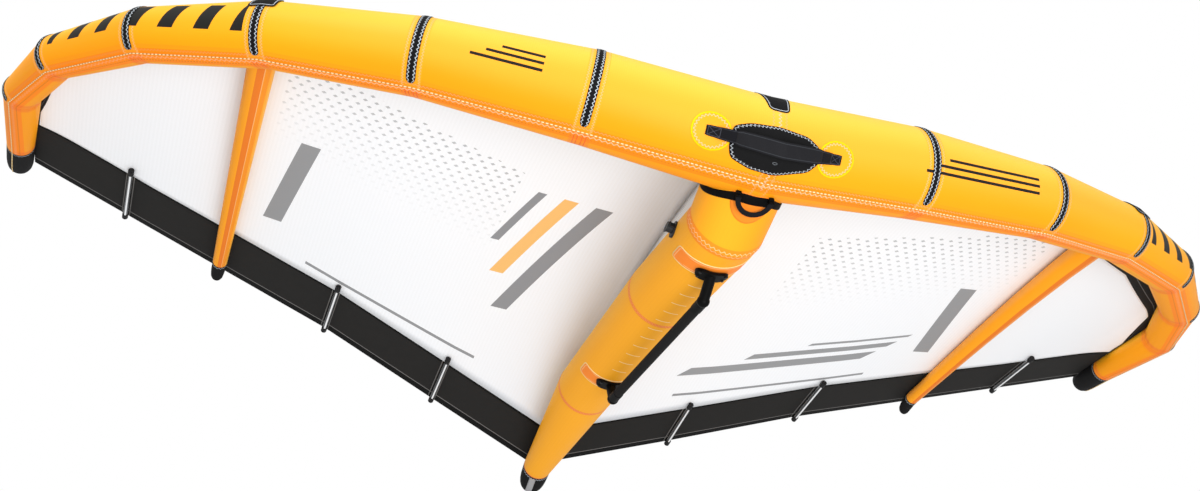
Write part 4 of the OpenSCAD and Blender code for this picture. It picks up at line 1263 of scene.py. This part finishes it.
# Hard parts keep the solids' shapes
FINISH = {
    "alloy": ("boom_tube",),
    "foam": ("boom_grip",),
    "plastic": ("boom_front_leg", "boom_rear_leg", "boom_front_plate", "boom_rear_plate"),
    "dark_screw": ("boom_screws",),
    "valve": ("valve_body", "valve_cap"),
    "steel": ("valve_poppet",),
    "rod": ("battens_left", "battens_right"),
    "rod_cap": ("batten_end_caps",),
    "film": ("le_bladder", "strut_bladder", "side_strut_bladders"),
    "webbing": ("air_hoses",),
}


def dress(ob, mat):
    ob.data.materials.clear()
    ob.data.materials.append(mat)


for key, names in FINISH.items():
    for name in names:
        dress(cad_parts[name], M[key])

# The valve's spring, as a steel copy of the solid's mesh on the wing
VALVE_Y, VALVE_HIGH = 396, 12
valve_out = strut_out(STRUT_DIR[1], VALVE_HIGH)
valve_mid = chain(lambda k: STRUT_C[k], strut_s(VALVE_Y), 4)
valve_r = np.interp(VALVE_Y, STRUT_Y, STRUT_D) / 2
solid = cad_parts["valve_spring"]
coil = add("valve_coil", solid.data.copy())
coil.matrix_world = solid.matrix_world
dress(coil, M["steel"])
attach(coil, "wing")
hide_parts("valve_spring")
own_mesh(coil)

# Camera, floor and light
CAM_PLACE = (-1.499, -4.372, -2.412)
CAM_FORWARD, CAM_RIGHT = (0.2422, 0.8191, 0.5199), (0.9492, -0.3111, 0.048)
LENS, CLIP_END = 48.0, 800
FLOOR_Z, FLOOR_HALF = -6.0, 150.0
FADE = (35.0, 140.0)
AMBIENT = 0.85


def add_camera():
    data = bpy.data.cameras.new("camera")
    data.lens = LENS
    data.sensor_fit = "HORIZONTAL"
    data.clip_end = CLIP_END
    cam = add("camera", data)
    forward = Vector(CAM_FORWARD).normalized()
    right = Vector(CAM_RIGHT)
    right = (right - forward * right.dot(forward)).normalized()
    turn = Matrix((right, right.cross(forward), -forward)).transposed().to_4x4()
    cam.matrix_world = Matrix.Translation(CAM_PLACE) @ turn
    bpy.context.scene.camera = cam


def floor_finish():
    """Pale floor that fades to white far away, and is clear to the camera from below."""
    mat = plain("floor", (236, 236, 236), 0.9, spec=0.1, grain=3.0, amount=0.02)
    tree = mat.node_tree
    new, link = tree.nodes.new, tree.links.new
    seen = Val(tree, new("ShaderNodeLightPath").outputs["Is Camera Ray"])
    geometry = new("ShaderNodeNewGeometry")
    reach = new("ShaderNodeVectorMath")
    reach.operation = "LENGTH"
    link(geometry.outputs["Position"], reach.inputs[0])
    white = new("ShaderNodeEmission")
    clear = new("ShaderNodeBsdfTransparent")
    layers = (
        (Val(tree, reach.outputs["Value"]).soft(*FADE) * seen, white),
        (Val(tree, geometry.outputs["Backfacing"]) * seen, clear),
    )
    under = tree.nodes["Principled BSDF"]
    for share, shader in layers:
        mix = new("ShaderNodeMixShader")
        link(share.sock, mix.inputs[0])
        link(under.outputs[0], mix.inputs[1])
        link(shader.outputs[0], mix.inputs[2])
        under = mix
    link(under.outputs[0], tree.nodes["Material Output"].inputs[0])
    return mat


def add_floor():
    me = bpy.data.meshes.new("floor")
    h, z = FLOOR_HALF, FLOOR_Z
    me.from_pydata([(-h, -h, z), (h, -h, z), (h, h, z), (-h, h, z)], [], [(0, 1, 2, 3)])
    me.materials.append(floor_finish())
    return add("floor", me)


def add_world():
    """White all round, a little brighter to the camera than as a light."""
    world = bpy.data.worlds.new("studio")
    bpy.context.scene.world = world
    world.use_nodes = True
    tree = world.node_tree
    back = tree.nodes["Background"]
    fix(back, {"Color": (1, 1, 1, 1)})
    rays = tree.nodes.new("ShaderNodeLightPath")
    through = Val(tree, rays.outputs["Is Transmission Ray"])
    seen = Val(tree, rays.outputs["Is Camera Ray"]).max(through)
    strength = seen * (1 - AMBIENT) + AMBIENT
    tree.links.new(strength.sock, back.inputs[1])


def add_lamp(name, place, target, size, power):
    data = bpy.data.lights.new(name, "AREA")
    data.shape = "DISK"
    data.size = size
    data.energy = power
    ob = add(name, data)
    ob.location = place
    ob.rotation_euler = (Vector(target) - Vector(place)).to_track_quat("-Z", "Y").to_euler()
    ob.visible_camera = False
    return ob


add_camera()
add_world()
floor = add_floor()
key = add_lamp("key", (-4.4, -4.4, 4.2), (0, 0.1, 0.2), 2.5, 190)
fill = add_lamp("fill", (0.1, -3.9, -2.3), (0, 0.2, 0.2), 2.4, 143)
bpy.context.scene.view_settings.view_transform = "Standard"
